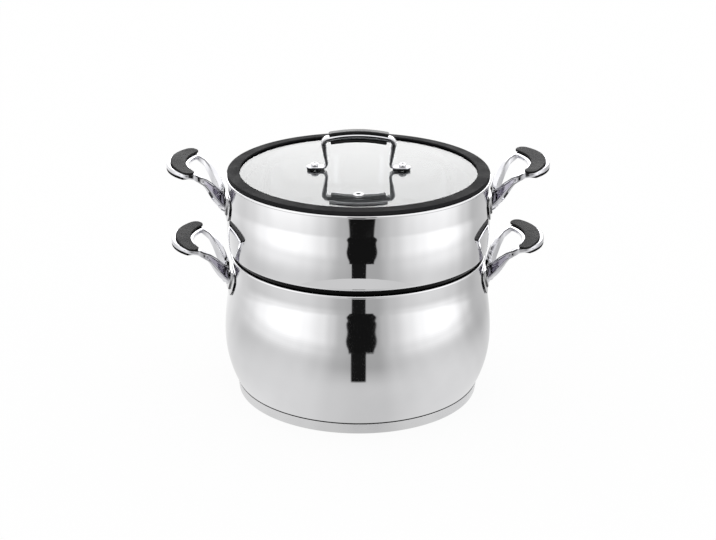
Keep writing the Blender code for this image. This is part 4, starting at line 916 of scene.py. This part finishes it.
# Four handles of one casting, each with its grip, screw and welded strap
def buildSideHandles():
    h = handle
    air = levels["air"]
    tilt = ringFrame()
    top, topFaces, topLine = padShell(h["span"], h["gripWidth"], h["tipWidth"], air, air + h["proud"], h["gripEdge"], 0.0003)
    neck, neckFaces, neckLine = padShell(0.0560, 0.0070, 0.0070, -h["thickness"] - air - h["under"] / 2, air + h["proud"] / 2, 0.0004)
    lip = lipShell()
    grip = joined([(moved(p, tilt), f) for p, f in ((top, topFaces), (neck, neckFaces), lip)])
    # painted shade: on the pad's sides and tips, and all over the neck and the lip under the ring
    gripLine = np.r_[0.9 * topLine, neckLine * 0 + 1, np.ones(len(lip[0]))]
    lieDown = Matrix.Rotation(math.radians(90), 4, "Y")
    screw, screwLine = socketScrew(h["screw"], h["screwHeight"], h["socket"], 0.0040, h["footThickness"] + 0.0012)
    screw = (moved(screw[0], Matrix.Translation((h["footThickness"] + 2 * air, 0, 0)) @ lieDown), screw[1])
    for body, outside in (("pot", potOutside()), ("steamer", steamerOutside())):
        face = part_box(f"{body}_bracket_right")[1].x - 0.0010
        height = mounts[body]
        pad, padLine = strapShell(face, height, outside)
        points, faces, line, recessShade = castingShell(h["lean"][body])
        for side, angle in (("right", 0.0), ("left", math.pi)):
            place = Matrix.Rotation(angle, 4, "Z") @ Matrix.Translation((face, 0, height))
            seated = place @ Matrix.Translation((air, 0, 0))
            cap = side.capitalize()
            piece = addObject(f"{body}Casting{cap}", moved(points, seated), faces)
            dress(piece, "castSteel", body, "cast_steel", f"{body}_handle_{side}")
            addMask(addMask(piece, "line", line), "recessShade", recessShade)
            piece = addObject(f"{body}Grip{cap}", moved(grip[0], seated), grip[1], 50)
            dress(piece, "gripRubber", body, "silicone", f"{body}_grip_{side}")
            addMask(piece, "line", gripLine)
            piece = addObject(f"{body}HandleScrew{cap}", moved(screw[0], place), screw[1], 35)
            dress(piece, "smallSteel", body, "fastener_steel", f"{body}_handle_screw_{side}")
            addMask(piece, "line", screwLine)
            piece = addObject(f"{body}Bracket{cap}", moved(pad[0], place), pad[1], 50)
            dress(piece, "satinSteel", body, "satin_steel", f"{body}_bracket_{side}")
            addMask(piece, "line", padLine)


buildSideHandles()
print("side handles ready")


# Lid

lid = {
    "turnDegrees": -2.1, "glassRadius": 0.1295, "glassThickness": 0.0040, "dome": 0.0015, "sink": 0.0023, "edge": 0.0008,
    "bandRadius": 0.1340, "bandInner": 0.1213, "lip": 0.0019, "fall": 0.0008, "under": 0.0018,
    "underReach": 0.0060, "collarPlay": 0.0009,
    "ventDistance": 0.0803, "ventBore": 0.0045, "ventTube": 0.0066, "ventFlange": 0.0102, "ventSheet": 0.0008,
}
lidHandle = {
    "height": 0.0374, "depth": 0.0100, "bar": 0.0058, "sag": 0.0032, "halfLength": 0.0310,
    "shoulder": 0.0362, "shoulderDrop": 0.0072, "waist": 0.0318, "leg": 0.0052, "ankle": 0.0033, "footEnd": 0.0530, "foot": 0.0022,
    "bend": 0.0050, "edge": 0.0026, "gripHalf": 0.0305, "grip": 0.0028, "gripDepth": 0.0092, "gripEdge": 0.0010,
    "underHalf": 0.0285, "screwSpan": 0.0447, "screw": 0.0040, "head": 0.0084, "headHeight": 0.0030, "socket": 0.0032,
    "washer": 0.0110, "washerThickness": 0.0008, "padStart": 0.0350, "padEnd": 0.0525, "padDepth": 0.0090, "nut": 0.0070, "nutHeight": 0.0032, "tail": 0.0010,
}
lidTurn = Matrix.Rotation(math.radians(lid["turnDegrees"]), 4, "Z")


# Upper face of the glass: the edge's height plus the dome times one minus the share of the radius squared
def glassTop(radius):
    return levels["steamerRim"] + lid["sink"] + lid["dome"] * (1 - (np.asarray(radius) / lid["glassRadius"]) ** 2)


def roundPunch(x, y, diameter, low, high, sides=32):
    a = np.linspace(0, 2 * math.pi, sides, endpoint=False)
    ring = np.stack([x + diameter / 2 * np.cos(a), y + diameter / 2 * np.sin(a)], 1)
    points = np.vstack([np.c_[ring, np.full(sides, low)], np.c_[ring, np.full(sides, high)], [(x, y, low), (x, y, high)]])
    return oriented(points, [gridQuads(2, sides), capFan(0, sides, 2 * sides, True), capFan(1, sides, 2 * sides + 1, False)])


def buildGlass():
    r = np.linspace(0, lid["glassRadius"] - lid["edge"], 50)
    top = np.stack([r, glassTop(r)], 1)
    a = np.linspace(0, math.pi, 15)[1:-1]
    rimHigh = float(glassTop(lid["glassRadius"]))
    edge = np.stack([
        lid["glassRadius"] - lid["edge"] + lid["edge"] * np.sin(a),
        rimHigh - lid["glassThickness"] / 2 + lid["glassThickness"] / 2 * np.cos(a),
    ], 1)
    bottom = np.stack([r[::-1], glassTop(r[::-1]) - lid["glassThickness"]], 1)
    glass = addObject("glassDisc", *turned(np.vstack([top, edge, bottom]), 192), sharpDegrees=60)
    low, high = levels["steamerRim"] - 0.01, levels["steamerRim"] + 0.02
    holes = [roundPunch(0, -lid["ventDistance"], lid["ventTube"] + 0.0006, low, high)]
    holes += [roundPunch(s * lidHandle["screwSpan"], 0, lidHandle["screw"] + 0.0006, low, high) for s in (-1, 1)]
    points, faces = joined(holes)
    cutWith(glass, moved(points, lidTurn), faces)
    dress(glass, "lidGlass", "lid", "lid_glass", "lid_glass")


# Silicone strip round the glass: lip, sloping top, outer edge, collar and groove
def buildBand():
    rest = levels["steamerRim"] + levels["air"]
    collar = steamer["rimRadius"] - levels["bead"] - lid["collarPlay"]
    groove = lid["glassRadius"] + levels["air"]
    underInner = lid["bandInner"] + lid["underReach"] / 3
    glassHigh = float(glassTop(lid["bandInner"])) + levels["air"]
    grooveHigh = float(glassTop(lid["glassRadius"])) + levels["air"]
    grooveLow = float(glassTop(underInner)) - lid["glassThickness"] - levels["air"]
    outerLow = float(glassTop(lid["glassRadius"])) - lid["glassThickness"] - levels["air"]
    top = glassHigh + lid["lip"]
    corners = [
        (lid["bandInner"], top), (lid["bandRadius"], top - lid["fall"]), (lid["bandRadius"], rest), (collar, rest),
        (collar, outerLow - lid["under"]), (underInner, grooveLow - lid["under"] / 2), (underInner, grooveLow),
        (groove, outerLow), (groove, grooveHigh + lid["edge"] / 2), (lid["bandInner"], glassHigh),
    ]
    radii = [0.0008, 0.0011, 0.0005, 0.0003, 0.0006, 0.0002, 0.0002, 0.0003, 0.0003, 0.0003]
    count = len(corners)
    profile = np.vstack([roundCorner(corners[i - 1], corners[i], corners[(i + 1) % count], radii[i], 7) for i in range(count)])
    profile = refined(np.vstack([profile, profile[:1]]), 0.003, 0.0002)[:-1]
    band = addObject("siliconeBand", *turned(profile, 256), sharpDegrees=60)
    dress(band, "bandRubber", "lid", "silicone", "lid_band")


# Eyelet square to the glass: the flange's dome, the tube and the rolled lower flange
def buildVent():
    slope = math.atan(2 * lid["dome"] * lid["ventDistance"] / lid["glassRadius"] ** 2)
    bore, flange, tube, sheet = lid["ventBore"] / 2, lid["ventFlange"] / 2, lid["ventTube"] / 2, lid["ventSheet"]
    air, low = levels["air"], -lid["glassThickness"] - levels["air"]
    a = np.linspace(0, math.pi, 13)
    crown = np.stack([
        (bore + flange) / 2 - (flange - bore) / 2 * np.cos(a),
        air + sheet * 0.45 + sheet * 1.0 * np.sin(a) ** 0.8,
    ], 1)
    profile = np.vstack([
        crown, [(flange, air), (tube, air), (tube, low), (flange, low), (flange, low - sheet * 0.7),
                (flange - 0.0003, low - sheet), (bore + 0.0003, low - sheet), (bore, low - sheet * 0.7)],
    ])
    points, faces = turned(refined(np.vstack([profile, profile[:1]]), 0.002, 0.0001)[:-1], 64)
    place = lidTurn @ Matrix.Translation((0, -lid["ventDistance"], float(glassTop(lid["ventDistance"])))) @ Matrix.Rotation(slope, 4, "X")
    eyelet = addObject("ventEyelet", moved(points, place), faces, 50)
    dress(eyelet, "smallSteel", "lid", "fastener_steel", "vent_eyelet")
    # painted shade inside the bore
    addMask(eyelet, "line", (np.hypot(points[:, 0], points[:, 1]) < bore + 0.0002) & (points[:, 2] < air + 1.1 * sheet))


def footLevel():
    return float(glassTop(lidHandle["screwSpan"])) + 2 * levels["air"] + lidHandle["washerThickness"]


# Bar's centre line: crown height less the sag times the share of the half length squared
def barHeight(x):
    return lidHandle["height"] - lidHandle["bar"] / 2 - lidHandle["sag"] * (np.asarray(x) / lidHandle["halfLength"]) ** 2


# A bar in the lid's upright plane: the section's height is across the line, its width is the depth in Y
def uprightBar(x, z, thickness, depth, edge, level, template=None):
    line = np.stack([x, np.zeros_like(x), z + level], 1)
    run = np.gradient(line, axis=0)
    run /= np.linalg.norm(run, axis=1)[:, None]
    upwards = np.stack([-run[:, 2], np.zeros(len(x)), run[:, 0]], 1)
    sideways = np.tile([0.0, -1.0, 0.0], (len(x), 1))
    points, faces = sweptBar(line, sideways, upwards, depth, thickness, edge, template=template)
    return moved(points, lidTurn), faces


# Right half of the handle from the bar's middle to the foot's end: x, z and thickness
def handleLine():
    h = lidHandle
    foot = h["foot"] / 2
    x = np.linspace(0, h["halfLength"] * 0.86, 24)
    bar = np.stack([x, barHeight(x)], 1)
    shoulder = (h["shoulder"], h["height"] - h["shoulderDrop"])
    ankle, end = (h["waist"], foot), (h["footEnd"], foot)
    upper = roundCorner(bar[-1], shoulder, ankle, h["bend"], 16)
    lower = roundCorner(shoulder, ankle, end, h["bend"], 16)
    leg = upper[-1] + (lower[0] - upper[-1]) * np.linspace(0, 1, 14)[1:-1, None]
    tab = lower[-1] + (np.array(end) - lower[-1]) * np.linspace(0, 1, 20)[1:, None]
    line = np.vstack([bar, upper, leg, lower, tab])
    thickness = np.r_[
        np.full(len(bar), h["bar"]), np.linspace(h["bar"], h["leg"], len(upper)), np.linspace(h["leg"], h["ankle"], len(leg)),
        np.linspace(h["ankle"], h["foot"], len(lower)), np.full(len(tab), h["foot"]),
    ]
    return line, thickness


def buildLidHandle():
    h = lidHandle
    line, thickness = handleLine()
    line = np.vstack([line[:0:-1] * [-1, 1], line])
    thickness = np.r_[thickness[:0:-1], thickness]
    beyond = np.clip(np.abs(line[:, 0]) - (h["footEnd"] - h["depth"] / 2), 0, h["depth"] / 2)
    tab = (line[:, 1] < h["foot"]) & (np.abs(line[:, 0]) > h["waist"] + h["bend"])
    depth = np.where(tab, 2 * np.sqrt(np.maximum((h["depth"] / 2) ** 2 - beyond ** 2, 1e-8)), h["depth"])
    template = sectionTemplate(5, 5, 9)
    bar = uprightBar(line[:, 0], line[:, 1], thickness, depth, h["edge"], footLevel(), template)
    piece = addObject("lidArch", *bar)
    dress(piece, "castSteel", "lid", "cast_steel", "lid_handle")
    # painted shade: a dark core on the legs' faces and a dark line along the lower corners of the bar
    _, _, dx, dz = template
    onLeg = np.clip((h["height"] - h["shoulderDrop"] * 0.8 - line[:, 1]) / 0.003, 0, 1) * np.clip((line[:, 1] - h["foot"]) / 0.003, 0, 1)
    face = np.clip((np.abs(dx) - 0.62) / 0.3, 0, 1)
    lower = np.clip(1.4 - np.abs(dz + 0.70) / 0.25, 0, 1) * (np.abs(dx) > 0.05)
    mask = np.maximum(0.86 * onLeg[:, None] * face[None], 0.9 * (line[:, 1] > h["height"] - h["shoulderDrop"])[:, None] * lower[None])
    addMask(piece, "line", np.r_[mask.ravel(), 0, 0])

    reach = h["bar"] / 2 + levels["air"]
    shells, masks = [], []
    for halfLength, sign in ((h["gripHalf"], 1), (h["underHalf"], -1)):
        end = np.linspace(0, 1, 9)
        x = np.r_[-halfLength + 0.0014 * (1 - np.cos(end * math.pi / 2)), np.linspace(-halfLength, halfLength, 50)[2:-2],
                  halfLength - 0.0014 * (1 - np.cos(end[::-1] * math.pi / 2))]
        close = np.clip((halfLength - np.abs(x)) / 0.0014, 0, 1)
        thin = 0.25 + 0.75 * np.sqrt(1 - (1 - close) ** 2)
        rise = barHeight(x) + sign * (reach + h["grip"] / 2)
        template = sectionTemplate(5, 9, 6)
        shells.append(uprightBar(x, rise, h["grip"] * thin, h["gripDepth"] * (0.6 + 0.4 * thin), h["gripEdge"], footLevel(), template))
        # painted shade on the upper grip's front side, and all over the grip under the bar and the core between
        side = np.clip((template[2] - 0.1) / 0.3, 0, 1) if sign > 0 else np.ones(template.shape[1])
        masks.append(np.r_[0.92 * np.tile(side, len(x)), 0.92, 0.92])
    x = np.linspace(-0.0240, 0.0240, 30)
    shells.append(uprightBar(x, barHeight(x), 2 * reach + h["grip"] / 2, 0.0044, 0.0003, footLevel()))
    piece = addObject("lidGrip", *joined(shells), 50)
    dress(piece, "archRubber", "lid", "silicone", "lid_grip")
    masks.append(np.ones(len(shells[-1][0])))
    addMask(piece, "line", np.concatenate(masks))


def ringProfile(bore, outside, low, high, edge):
    corners = [(bore, high), (outside, high), (outside, low), (bore, low)]
    rows = np.vstack([roundCorner(corners[i - 1], corners[i], corners[(i + 1) % 4], edge, 5) for i in range(4)])
    return refined(np.vstack([rows, rows[:1]]), 0.002, 0.0001)[:-1]


# Pad under a foot, in the frame of that foot's screw: its depth closes by a quarter circle at both ends
def footPad(sign):
    h = lidHandle
    edge = 0.0009
    step = edge * (1 - np.cos(np.linspace(0, math.pi / 2, 8)))[:-1]
    start, end = h["padStart"], h["padEnd"]
    x = np.r_[start + step, np.linspace(start + edge, end - edge, 24), (end - step)[::-1]]
    past = np.clip(edge - np.minimum(x - start, end - x), 0, edge)
    depth = h["padDepth"] - 2 * edge + 2 * np.sqrt(np.maximum(edge ** 2 - past ** 2, 0))
    low = float(glassTop(h["screwSpan"])) + levels["air"]
    line = np.stack([sign * x - sign * h["screwSpan"], np.zeros_like(x), np.full_like(x, low + h["washerThickness"] / 2)], 1)
    along = np.tile([0.0, -1.0, 0.0], (len(x), 1))
    up = np.tile([0.0, 0.0, 1.0], (len(x), 1))
    return sweptBar(line, along, up, depth, h["washerThickness"], 0.00025, template=sectionTemplate(1, 7, 4))


def buildLidFasteners():
    h = lidHandle
    air = levels["air"]
    glass = float(glassTop(h["screwSpan"]))
    seat = footLevel() + h["foot"] + air
    sealHigh = glass - lid["glassThickness"] - air
    nutHigh = sealHigh - h["washerThickness"] - air
    tail = nutHigh - h["nutHeight"] - h["tail"]
    bore = h["screw"] / 2 + air
    screw, screwLine = socketScrew(h["head"], h["headHeight"], h["socket"], h["screw"], seat - tail)
    screw = (screw[0] + [0, 0, seat], screw[1])
    seal = turned(ringProfile(bore, h["washer"] / 2, sealHigh - h["washerThickness"], sealHigh, 0.0002), 48)
    nutPoints, nutFaces = turned(ringProfile(bore, h["nut"] / 2, nutHigh - h["nutHeight"], nutHigh, 0.0003), 48)
    a = np.arctan2(nutPoints[:, 1], nutPoints[:, 0])
    r = np.hypot(nutPoints[:, 0], nutPoints[:, 1])
    flats = 1 / np.cos((a + math.pi / 6) % (math.pi / 3) - math.pi / 6)
    stretch = np.where(r > bore + 0.0004, flats, 1.0)
    nutPoints = nutPoints * np.stack([stretch, stretch, np.ones_like(stretch)], 1)
    for side, sign in (("left", -1), ("right", 1)):
        place = lidTurn @ Matrix.Translation((sign * h["screwSpan"], 0, 0))
        for name, shell, material, slot, cad in (
            ("lidScrew", screw, "smallSteel", "fastener_steel", "lid_screw"),
            ("lidPad", footPad(sign), "smallRubber", "silicone", "lid_washer"),
            ("lidSeal", seal, "smallRubber", "silicone", "lid_seal"),
            ("lidNut", (nutPoints, nutFaces), "smallSteel", "fastener_steel", "lid_nut"),
        ):
            piece = addObject(f"{name}{side.capitalize()}", moved(shell[0], place), shell[1], 35)
            dress(piece, material, "lid", slot, f"{cad}_{side}")
            if name == "lidScrew":
                addMask(piece, "line", screwLine)


buildGlass()
buildBand()
buildVent()
buildLidHandle()
buildLidFasteners()
print("lid ready")


# Studio: a round light tent with two bright panels, a dark opening behind the camera, and a pale glossy table
studio = {
    "yawDegrees": 2.1, "distance": 1.59303, "height": 0.74094, "pitchDegrees": 21.07, "rollDegrees": 0.355, "lens": 82.22,
    "floorColour": (0.98, 0.98, 0.98, 1), "floorShadowShare": 0.10, "overhead": 1.25, "throughGlass": 0.16,
}
tent = {
    "radius": 0.69, "height": 1.25,
    # brightness by degrees round the object, 0 towards the camera and positive to the right of the picture
    "panel": ((-180, 1.05), (-150, 1.00), (-124, 0.98), (-110, 0.86), (-96, 0.98), (-82, 1.22), (-69, 1.38), (-50, 1.38),
              (-41, 1.25), (-27, 1.00), (-20, 0.78), (-13, 0.58), (0, 0.45), (14, 0.45), (20, 0.60), (27, 0.76), (41, 1.05),
              (50, 1.20), (60, 1.34), (72, 1.40), (82, 1.28), (96, 0.93), (110, 0.62), (124, 0.62), (140, 0.68),
              (155, 0.80), (180, 1.05)),
    "table": ((-180, 1.02), (-140, 0.96), (-125, 0.88), (-110, 0.76), (-96, 0.68), (-82, 0.72), (-69, 0.77), (-55, 0.81),
              (-41, 0.78), (-27, 0.67), (-14, 0.50), (0, 0.44), (14, 0.45), (27, 0.63), (41, 0.74), (55, 0.81), (69, 0.80),
              (82, 0.74), (96, 0.60), (110, 0.54), (125, 0.60), (140, 0.70), (180, 1.02)),
    "joint": ((-180, 1.00), (-140, 0.92), (-110, 0.78), (-96, 0.86), (-82, 1.01), (-69, 1.09), (-50, 1.05), (-41, 0.98),
              (-27, 0.79), (-13, 0.54), (0, 0.46), (14, 0.46), (27, 0.68), (41, 0.89), (50, 0.98), (60, 1.06), (72, 1.10),
              (82, 1.02), (96, 0.76), (110, 0.58), (140, 0.66), (180, 1.00)),
    "footHeight": 0.070, "upperLevel": 1.20, "upperFrom": 0.30, "upperTo": 0.60,
    "openingLeft": (-0.080, -0.098), "openingRight": (0.146, 0.166), "openingHeights": (0.0, 0.050), "openingTop": 0.62,
    "wedgeLeft": (0.006, 0.095), "wedgeRight": (0.009, 0.120), "wedgeFrom": 0.137, "wedgeStart": 0.262,
    "nearLevel": 0.90, "nearShare": 0.55, "nearRadius": (0.20, 0.40), "jointRadius": (0.40, 0.66),
    "glintRadius": (0.1375, 0.1635), "glintHeight": 0.1557, "glintHalf": 26.0, "glintLevel": 0.72,
    "backDegrees": (128, 150), "backHeights": (0.30, 0.36), "backLight": 3.2, "insideLevel": 0.9,
}


# Colour ramp of greys over -180 to 180 degrees; it is carried at a fourth, because ramp colours end at 1
def aroundRamp(tree, azimuth, stops):
    made = node(tree, "ShaderNodeValToRGB")
    made.color_ramp.interpolation = "EASE"
    elements = made.color_ramp.elements
    while len(elements) < len(stops):
        elements.new(0.5)
    for element, (degrees, level) in zip(elements, stops):
        element.position = (degrees + 180) / 360
    for element, (degrees, level) in zip(elements, stops):
        element.color = (level / 4, level / 4, level / 4, 1)
    tree.links.new(mathNode(tree, "MULTIPLY_ADD", azimuth, 1 / 360, 0.5), made.inputs[0])
    return mathNode(tree, "MULTIPLY", made.outputs[0], 4.0)


def blended(tree, factor, first, second):
    made = node(tree, "ShaderNodeMix", data_type="FLOAT")
    for index, value in ((0, factor), (2, first), (3, second)):
        if isinstance(value, (int, float)):
            made.inputs[index].default_value = value
        else:
            tree.links.new(value, made.inputs[index])
    return made.outputs[0]


# Place on the stage seen from above, turned so that the camera stands at zero degrees: x, y, z and degrees
def stagePlace(tree):
    turnNode = node(tree, "ShaderNodeVectorRotate", rotation_type="Z_AXIS")
    turnNode.inputs["Angle"].default_value = math.radians(studio["yawDegrees"])
    tree.links.new(node(tree, "ShaderNodeTexCoord").outputs["Object"], turnNode.inputs["Vector"])
    split = node(tree, "ShaderNodeSeparateXYZ")
    tree.links.new(turnNode.outputs[0], split.inputs[0])
    x, y, z = split.outputs
    front = mathNode(tree, "MULTIPLY", y, -1.0)
    azimuth = mathNode(tree, "MULTIPLY", mathNode(tree, "ARCTAN2", x, front), 180 / math.pi)
    return x, front, z, azimuth


# One between a left and a right edge, zero outside, with soft edges of the width given
def between(tree, value, left, right, soft):
    inLeft = mapRange(tree, mathNode(tree, "SUBTRACT", value, left), -soft, soft)
    inRight = mapRange(tree, mathNode(tree, "SUBTRACT", right, value), -soft, soft)
    return mathNode(tree, "MULTIPLY", inLeft, inRight)


# Straight for metal and rubber, and not there for the camera, for soft light, shadows and what is seen through glass
def buildTent():
    t = tent
    a = np.linspace(0, 2 * math.pi, 96, endpoint=False)
    ring = np.stack([t["radius"] * np.cos(a), t["radius"] * np.sin(a)], 1)
    wall = np.vstack([np.c_[ring, np.full(96, -0.0002)], np.c_[ring, np.full(96, t["height"])]])
    piece = addObject("tentWall", wall, [gridQuads(2, 96)])
    material, tree, _ = newMaterial("tentCloth")
    tree.nodes.clear()
    x, front, z, azimuth = stagePlace(tree)
    level = blended(tree, mapRange(tree, z, 0.0, t["footHeight"]), aroundRamp(tree, azimuth, t["joint"]), aroundRamp(tree, azimuth, t["panel"]))
    # gently waved edges, like hanging cloth
    wave = mathNode(tree, "MULTIPLY", mathNode(tree, "SINE", mathNode(tree, "MULTIPLY", z, 62.0)), 0.005)
    left = mathNode(tree, "ADD", mapRange(tree, z, *t["openingHeights"], *t["openingLeft"]), wave)
    right = mathNode(tree, "SUBTRACT", mapRange(tree, z, *t["openingHeights"], *t["openingRight"]), wave)
    opening = mathNode(tree, "MULTIPLY", between(tree, x, left, right, 0.007), mapRange(tree, front, 0.0, 0.05))
    upper = blended(tree, mapRange(tree, z, t["upperFrom"], t["upperTo"]), level, t["upperLevel"])
    opening = mathNode(tree, "MULTIPLY", opening, mapRange(tree, z, t["openingTop"], t["openingTop"] + 0.06, 1.0, 0.0))
    upper = blended(tree, opening, upper, 0.008)
    back = mathNode(tree, "MULTIPLY", mapRange(tree, mathNode(tree, "ABSOLUTE", azimuth), *t["backDegrees"]), mapRange(tree, z, *t["backHeights"]))
    # no bright streaks on the steel seen through the lid
    inside = mathNode(tree, "GREATER_THAN", node(tree, "ShaderNodeLightPath").outputs["Transmission Depth"], 0.5)
    glow = node(tree, "ShaderNodeEmission")
    tree.links.new(blended(tree, inside, blended(tree, back, upper, t["backLight"]), t["insideLevel"]), glow.inputs["Strength"])
    tree.links.new(glow.outputs[0], node(tree, "ShaderNodeOutputMaterial").inputs["Surface"])
    material.cycles.emission_sampling = "NONE"
    piece.data.materials.append(material)
    for rays in ("visible_camera", "visible_diffuse", "visible_transmission", "visible_shadow", "visible_volume_scatter"):
        setattr(piece, rays, False)


# Narrow arc of the table's glare before the seam of the two vessels, which ends the dark slot on the steamer
def buildGlint():
    t = tent
    share = np.linspace(-1, 1, 41)
    a = np.radians(share * t["glintHalf"] - 90 - studio["yawDegrees"])
    low, high = t["glintRadius"]
    rings = [np.c_[r * np.cos(a), r * np.sin(a), np.full(len(a), t["glintHeight"])] for r in (low, low + (high - low) * (1 - share ** 2))]
    piece = addObject("tableGlint", np.vstack(rings), [gridQuads(2, len(a), wrapColumns=False)])
    material, tree, _ = newMaterial("tableGlint")
    tree.nodes.clear()
    glow = node(tree, "ShaderNodeEmission")
    glow.inputs["Strength"].default_value = t["glintLevel"]
    tree.links.new(glow.outputs[0], node(tree, "ShaderNodeOutputMaterial").inputs["Surface"])
    material.cycles.emission_sampling = "NONE"
    piece.data.materials.append(material)
    for rays in ("visible_camera", "visible_diffuse", "visible_transmission", "visible_shadow", "visible_volume_scatter"):
        setattr(piece, rays, False)


# White for the camera and for straight looks through glass; light that comes out through the glass again is dimmer
def buildWorld():
    world = bpy.data.worlds.new("tentCeiling")
    bpy.context.scene.world = world
    world.use_nodes = True
    tree = world.node_tree
    tree.nodes.clear()
    path = node(tree, "ShaderNodeLightPath")
    mirrored = blended(tree, path.outputs["Is Glossy Ray"], 1.0, studio["overhead"])
    deep = mathNode(tree, "GREATER_THAN", path.outputs["Transmission Depth"], 3.5)
    passed = blended(tree, deep, 1.0, studio["throughGlass"])
    strength = blended(tree, path.outputs["Is Transmission Ray"], mirrored, passed)
    background = node(tree, "ShaderNodeBackground")
    background.inputs["Color"].default_value = (1, 1, 1, 1)
    tree.links.new(strength, background.inputs["Strength"])
    output = node(tree, "ShaderNodeOutputWorld")
    tree.links.new(background.outputs[0], output.inputs["Surface"])


# Pale table: for the camera mostly its own white, so that only a soft shadow stays; metal sees the tent's light on it
def buildFloor():
    t = tent
    half = 3.0
    floor = addObject("floor", [(-half, -half, -0.0002), (half, -half, -0.0002), (half, half, -0.0002), (-half, half, -0.0002)],
                      [np.array([[0, 1, 2, 3]])])
    material, tree, shader = newMaterial("floorPaper", Roughness=0.9, Metallic=0.0)
    shader.inputs["Base Color"].default_value = studio["floorColour"]
    shader.inputs["Specular IOR Level"].default_value = 0.0
    path = node(tree, "ShaderNodeLightPath")
    white = node(tree, "ShaderNodeEmission")
    seen = node(tree, "ShaderNodeMixShader")
    straight = mathNode(tree, "MAXIMUM", path.outputs["Is Camera Ray"], path.outputs["Is Transmission Ray"])
    tree.links.new(mathNode(tree, "MULTIPLY", straight, 1 - studio["floorShadowShare"]), seen.inputs[0])
    tree.links.new(shader.outputs[0], seen.inputs[1])
    tree.links.new(white.outputs[0], seen.inputs[2])

    x, front, z, azimuth = stagePlace(tree)
    distance = mathNode(tree, "SQRT", mathNode(tree, "ADD", mathNode(tree, "POWER", mathNode(tree, "ABSOLUTE", x), 2.0),
                                               mathNode(tree, "POWER", mathNode(tree, "ABSOLUTE", front), 2.0)))
    far = aroundRamp(tree, azimuth, t["table"])
    calm = blended(tree, t["nearShare"], far, t["nearLevel"])
    level = blended(tree, mapRange(tree, distance, *t["nearRadius"]), calm, far)
    level = blended(tree, mapRange(tree, distance, *t["jointRadius"]), level, aroundRamp(tree, azimuth, t["joint"]))
    ahead = mathNode(tree, "SUBTRACT", front, t["wedgeFrom"])
    left = mathNode(tree, "MULTIPLY_ADD", ahead, -t["wedgeLeft"][1], -t["wedgeLeft"][0])
    right = mathNode(tree, "MULTIPLY_ADD", ahead, t["wedgeRight"][1], t["wedgeRight"][0])
    wedge = mathNode(tree, "MULTIPLY", between(tree, x, left, right, 0.003), mapRange(tree, front, t["wedgeStart"], t["wedgeStart"] + 0.015))
    reflected = node(tree, "ShaderNodeEmission")
    tree.links.new(blended(tree, wedge, level, 0.010), reflected.inputs["Strength"])
    whole = node(tree, "ShaderNodeMixShader")
    tree.links.new(mathNode(tree, "MULTIPLY", path.outputs["Is Glossy Ray"], mathNode(tree, "SUBTRACT", 1.0, path.outputs["Is Transmission Ray"])),
                   whole.inputs[0])
    tree.links.new(seen.outputs[0], whole.inputs[1])
    tree.links.new(reflected.outputs[0], whole.inputs[2])
    tree.links.new(whole.outputs[0], tree.nodes["Material Output"].inputs["Surface"])
    material.cycles.emission_sampling = "NONE"
    floor.data.materials.append(material)


def buildCamera():
    data = bpy.data.cameras.new("camera")
    data.lens = studio["lens"]
    data.sensor_width = 36.0
    camera = bpy.data.objects.new("camera", data)
    bpy.context.scene.collection.objects.link(camera)
    yaw = math.radians(studio["yawDegrees"])
    place = Matrix.Translation((-studio["distance"] * math.sin(yaw), -studio["distance"] * math.cos(yaw), studio["height"]))
    aim = Matrix.Rotation(-yaw, 4, "Z") @ Matrix.Rotation(math.radians(90 - studio["pitchDegrees"]), 4, "X")
    camera.matrix_world = place @ aim @ Matrix.Rotation(math.radians(studio["rollDegrees"]), 4, "Z")
    bpy.context.scene.camera = camera


buildWorld()
buildTent()
buildGlint()
buildFloor()
buildCamera()
bpy.context.scene.view_settings.view_transform = "Standard"
print("studio ready")
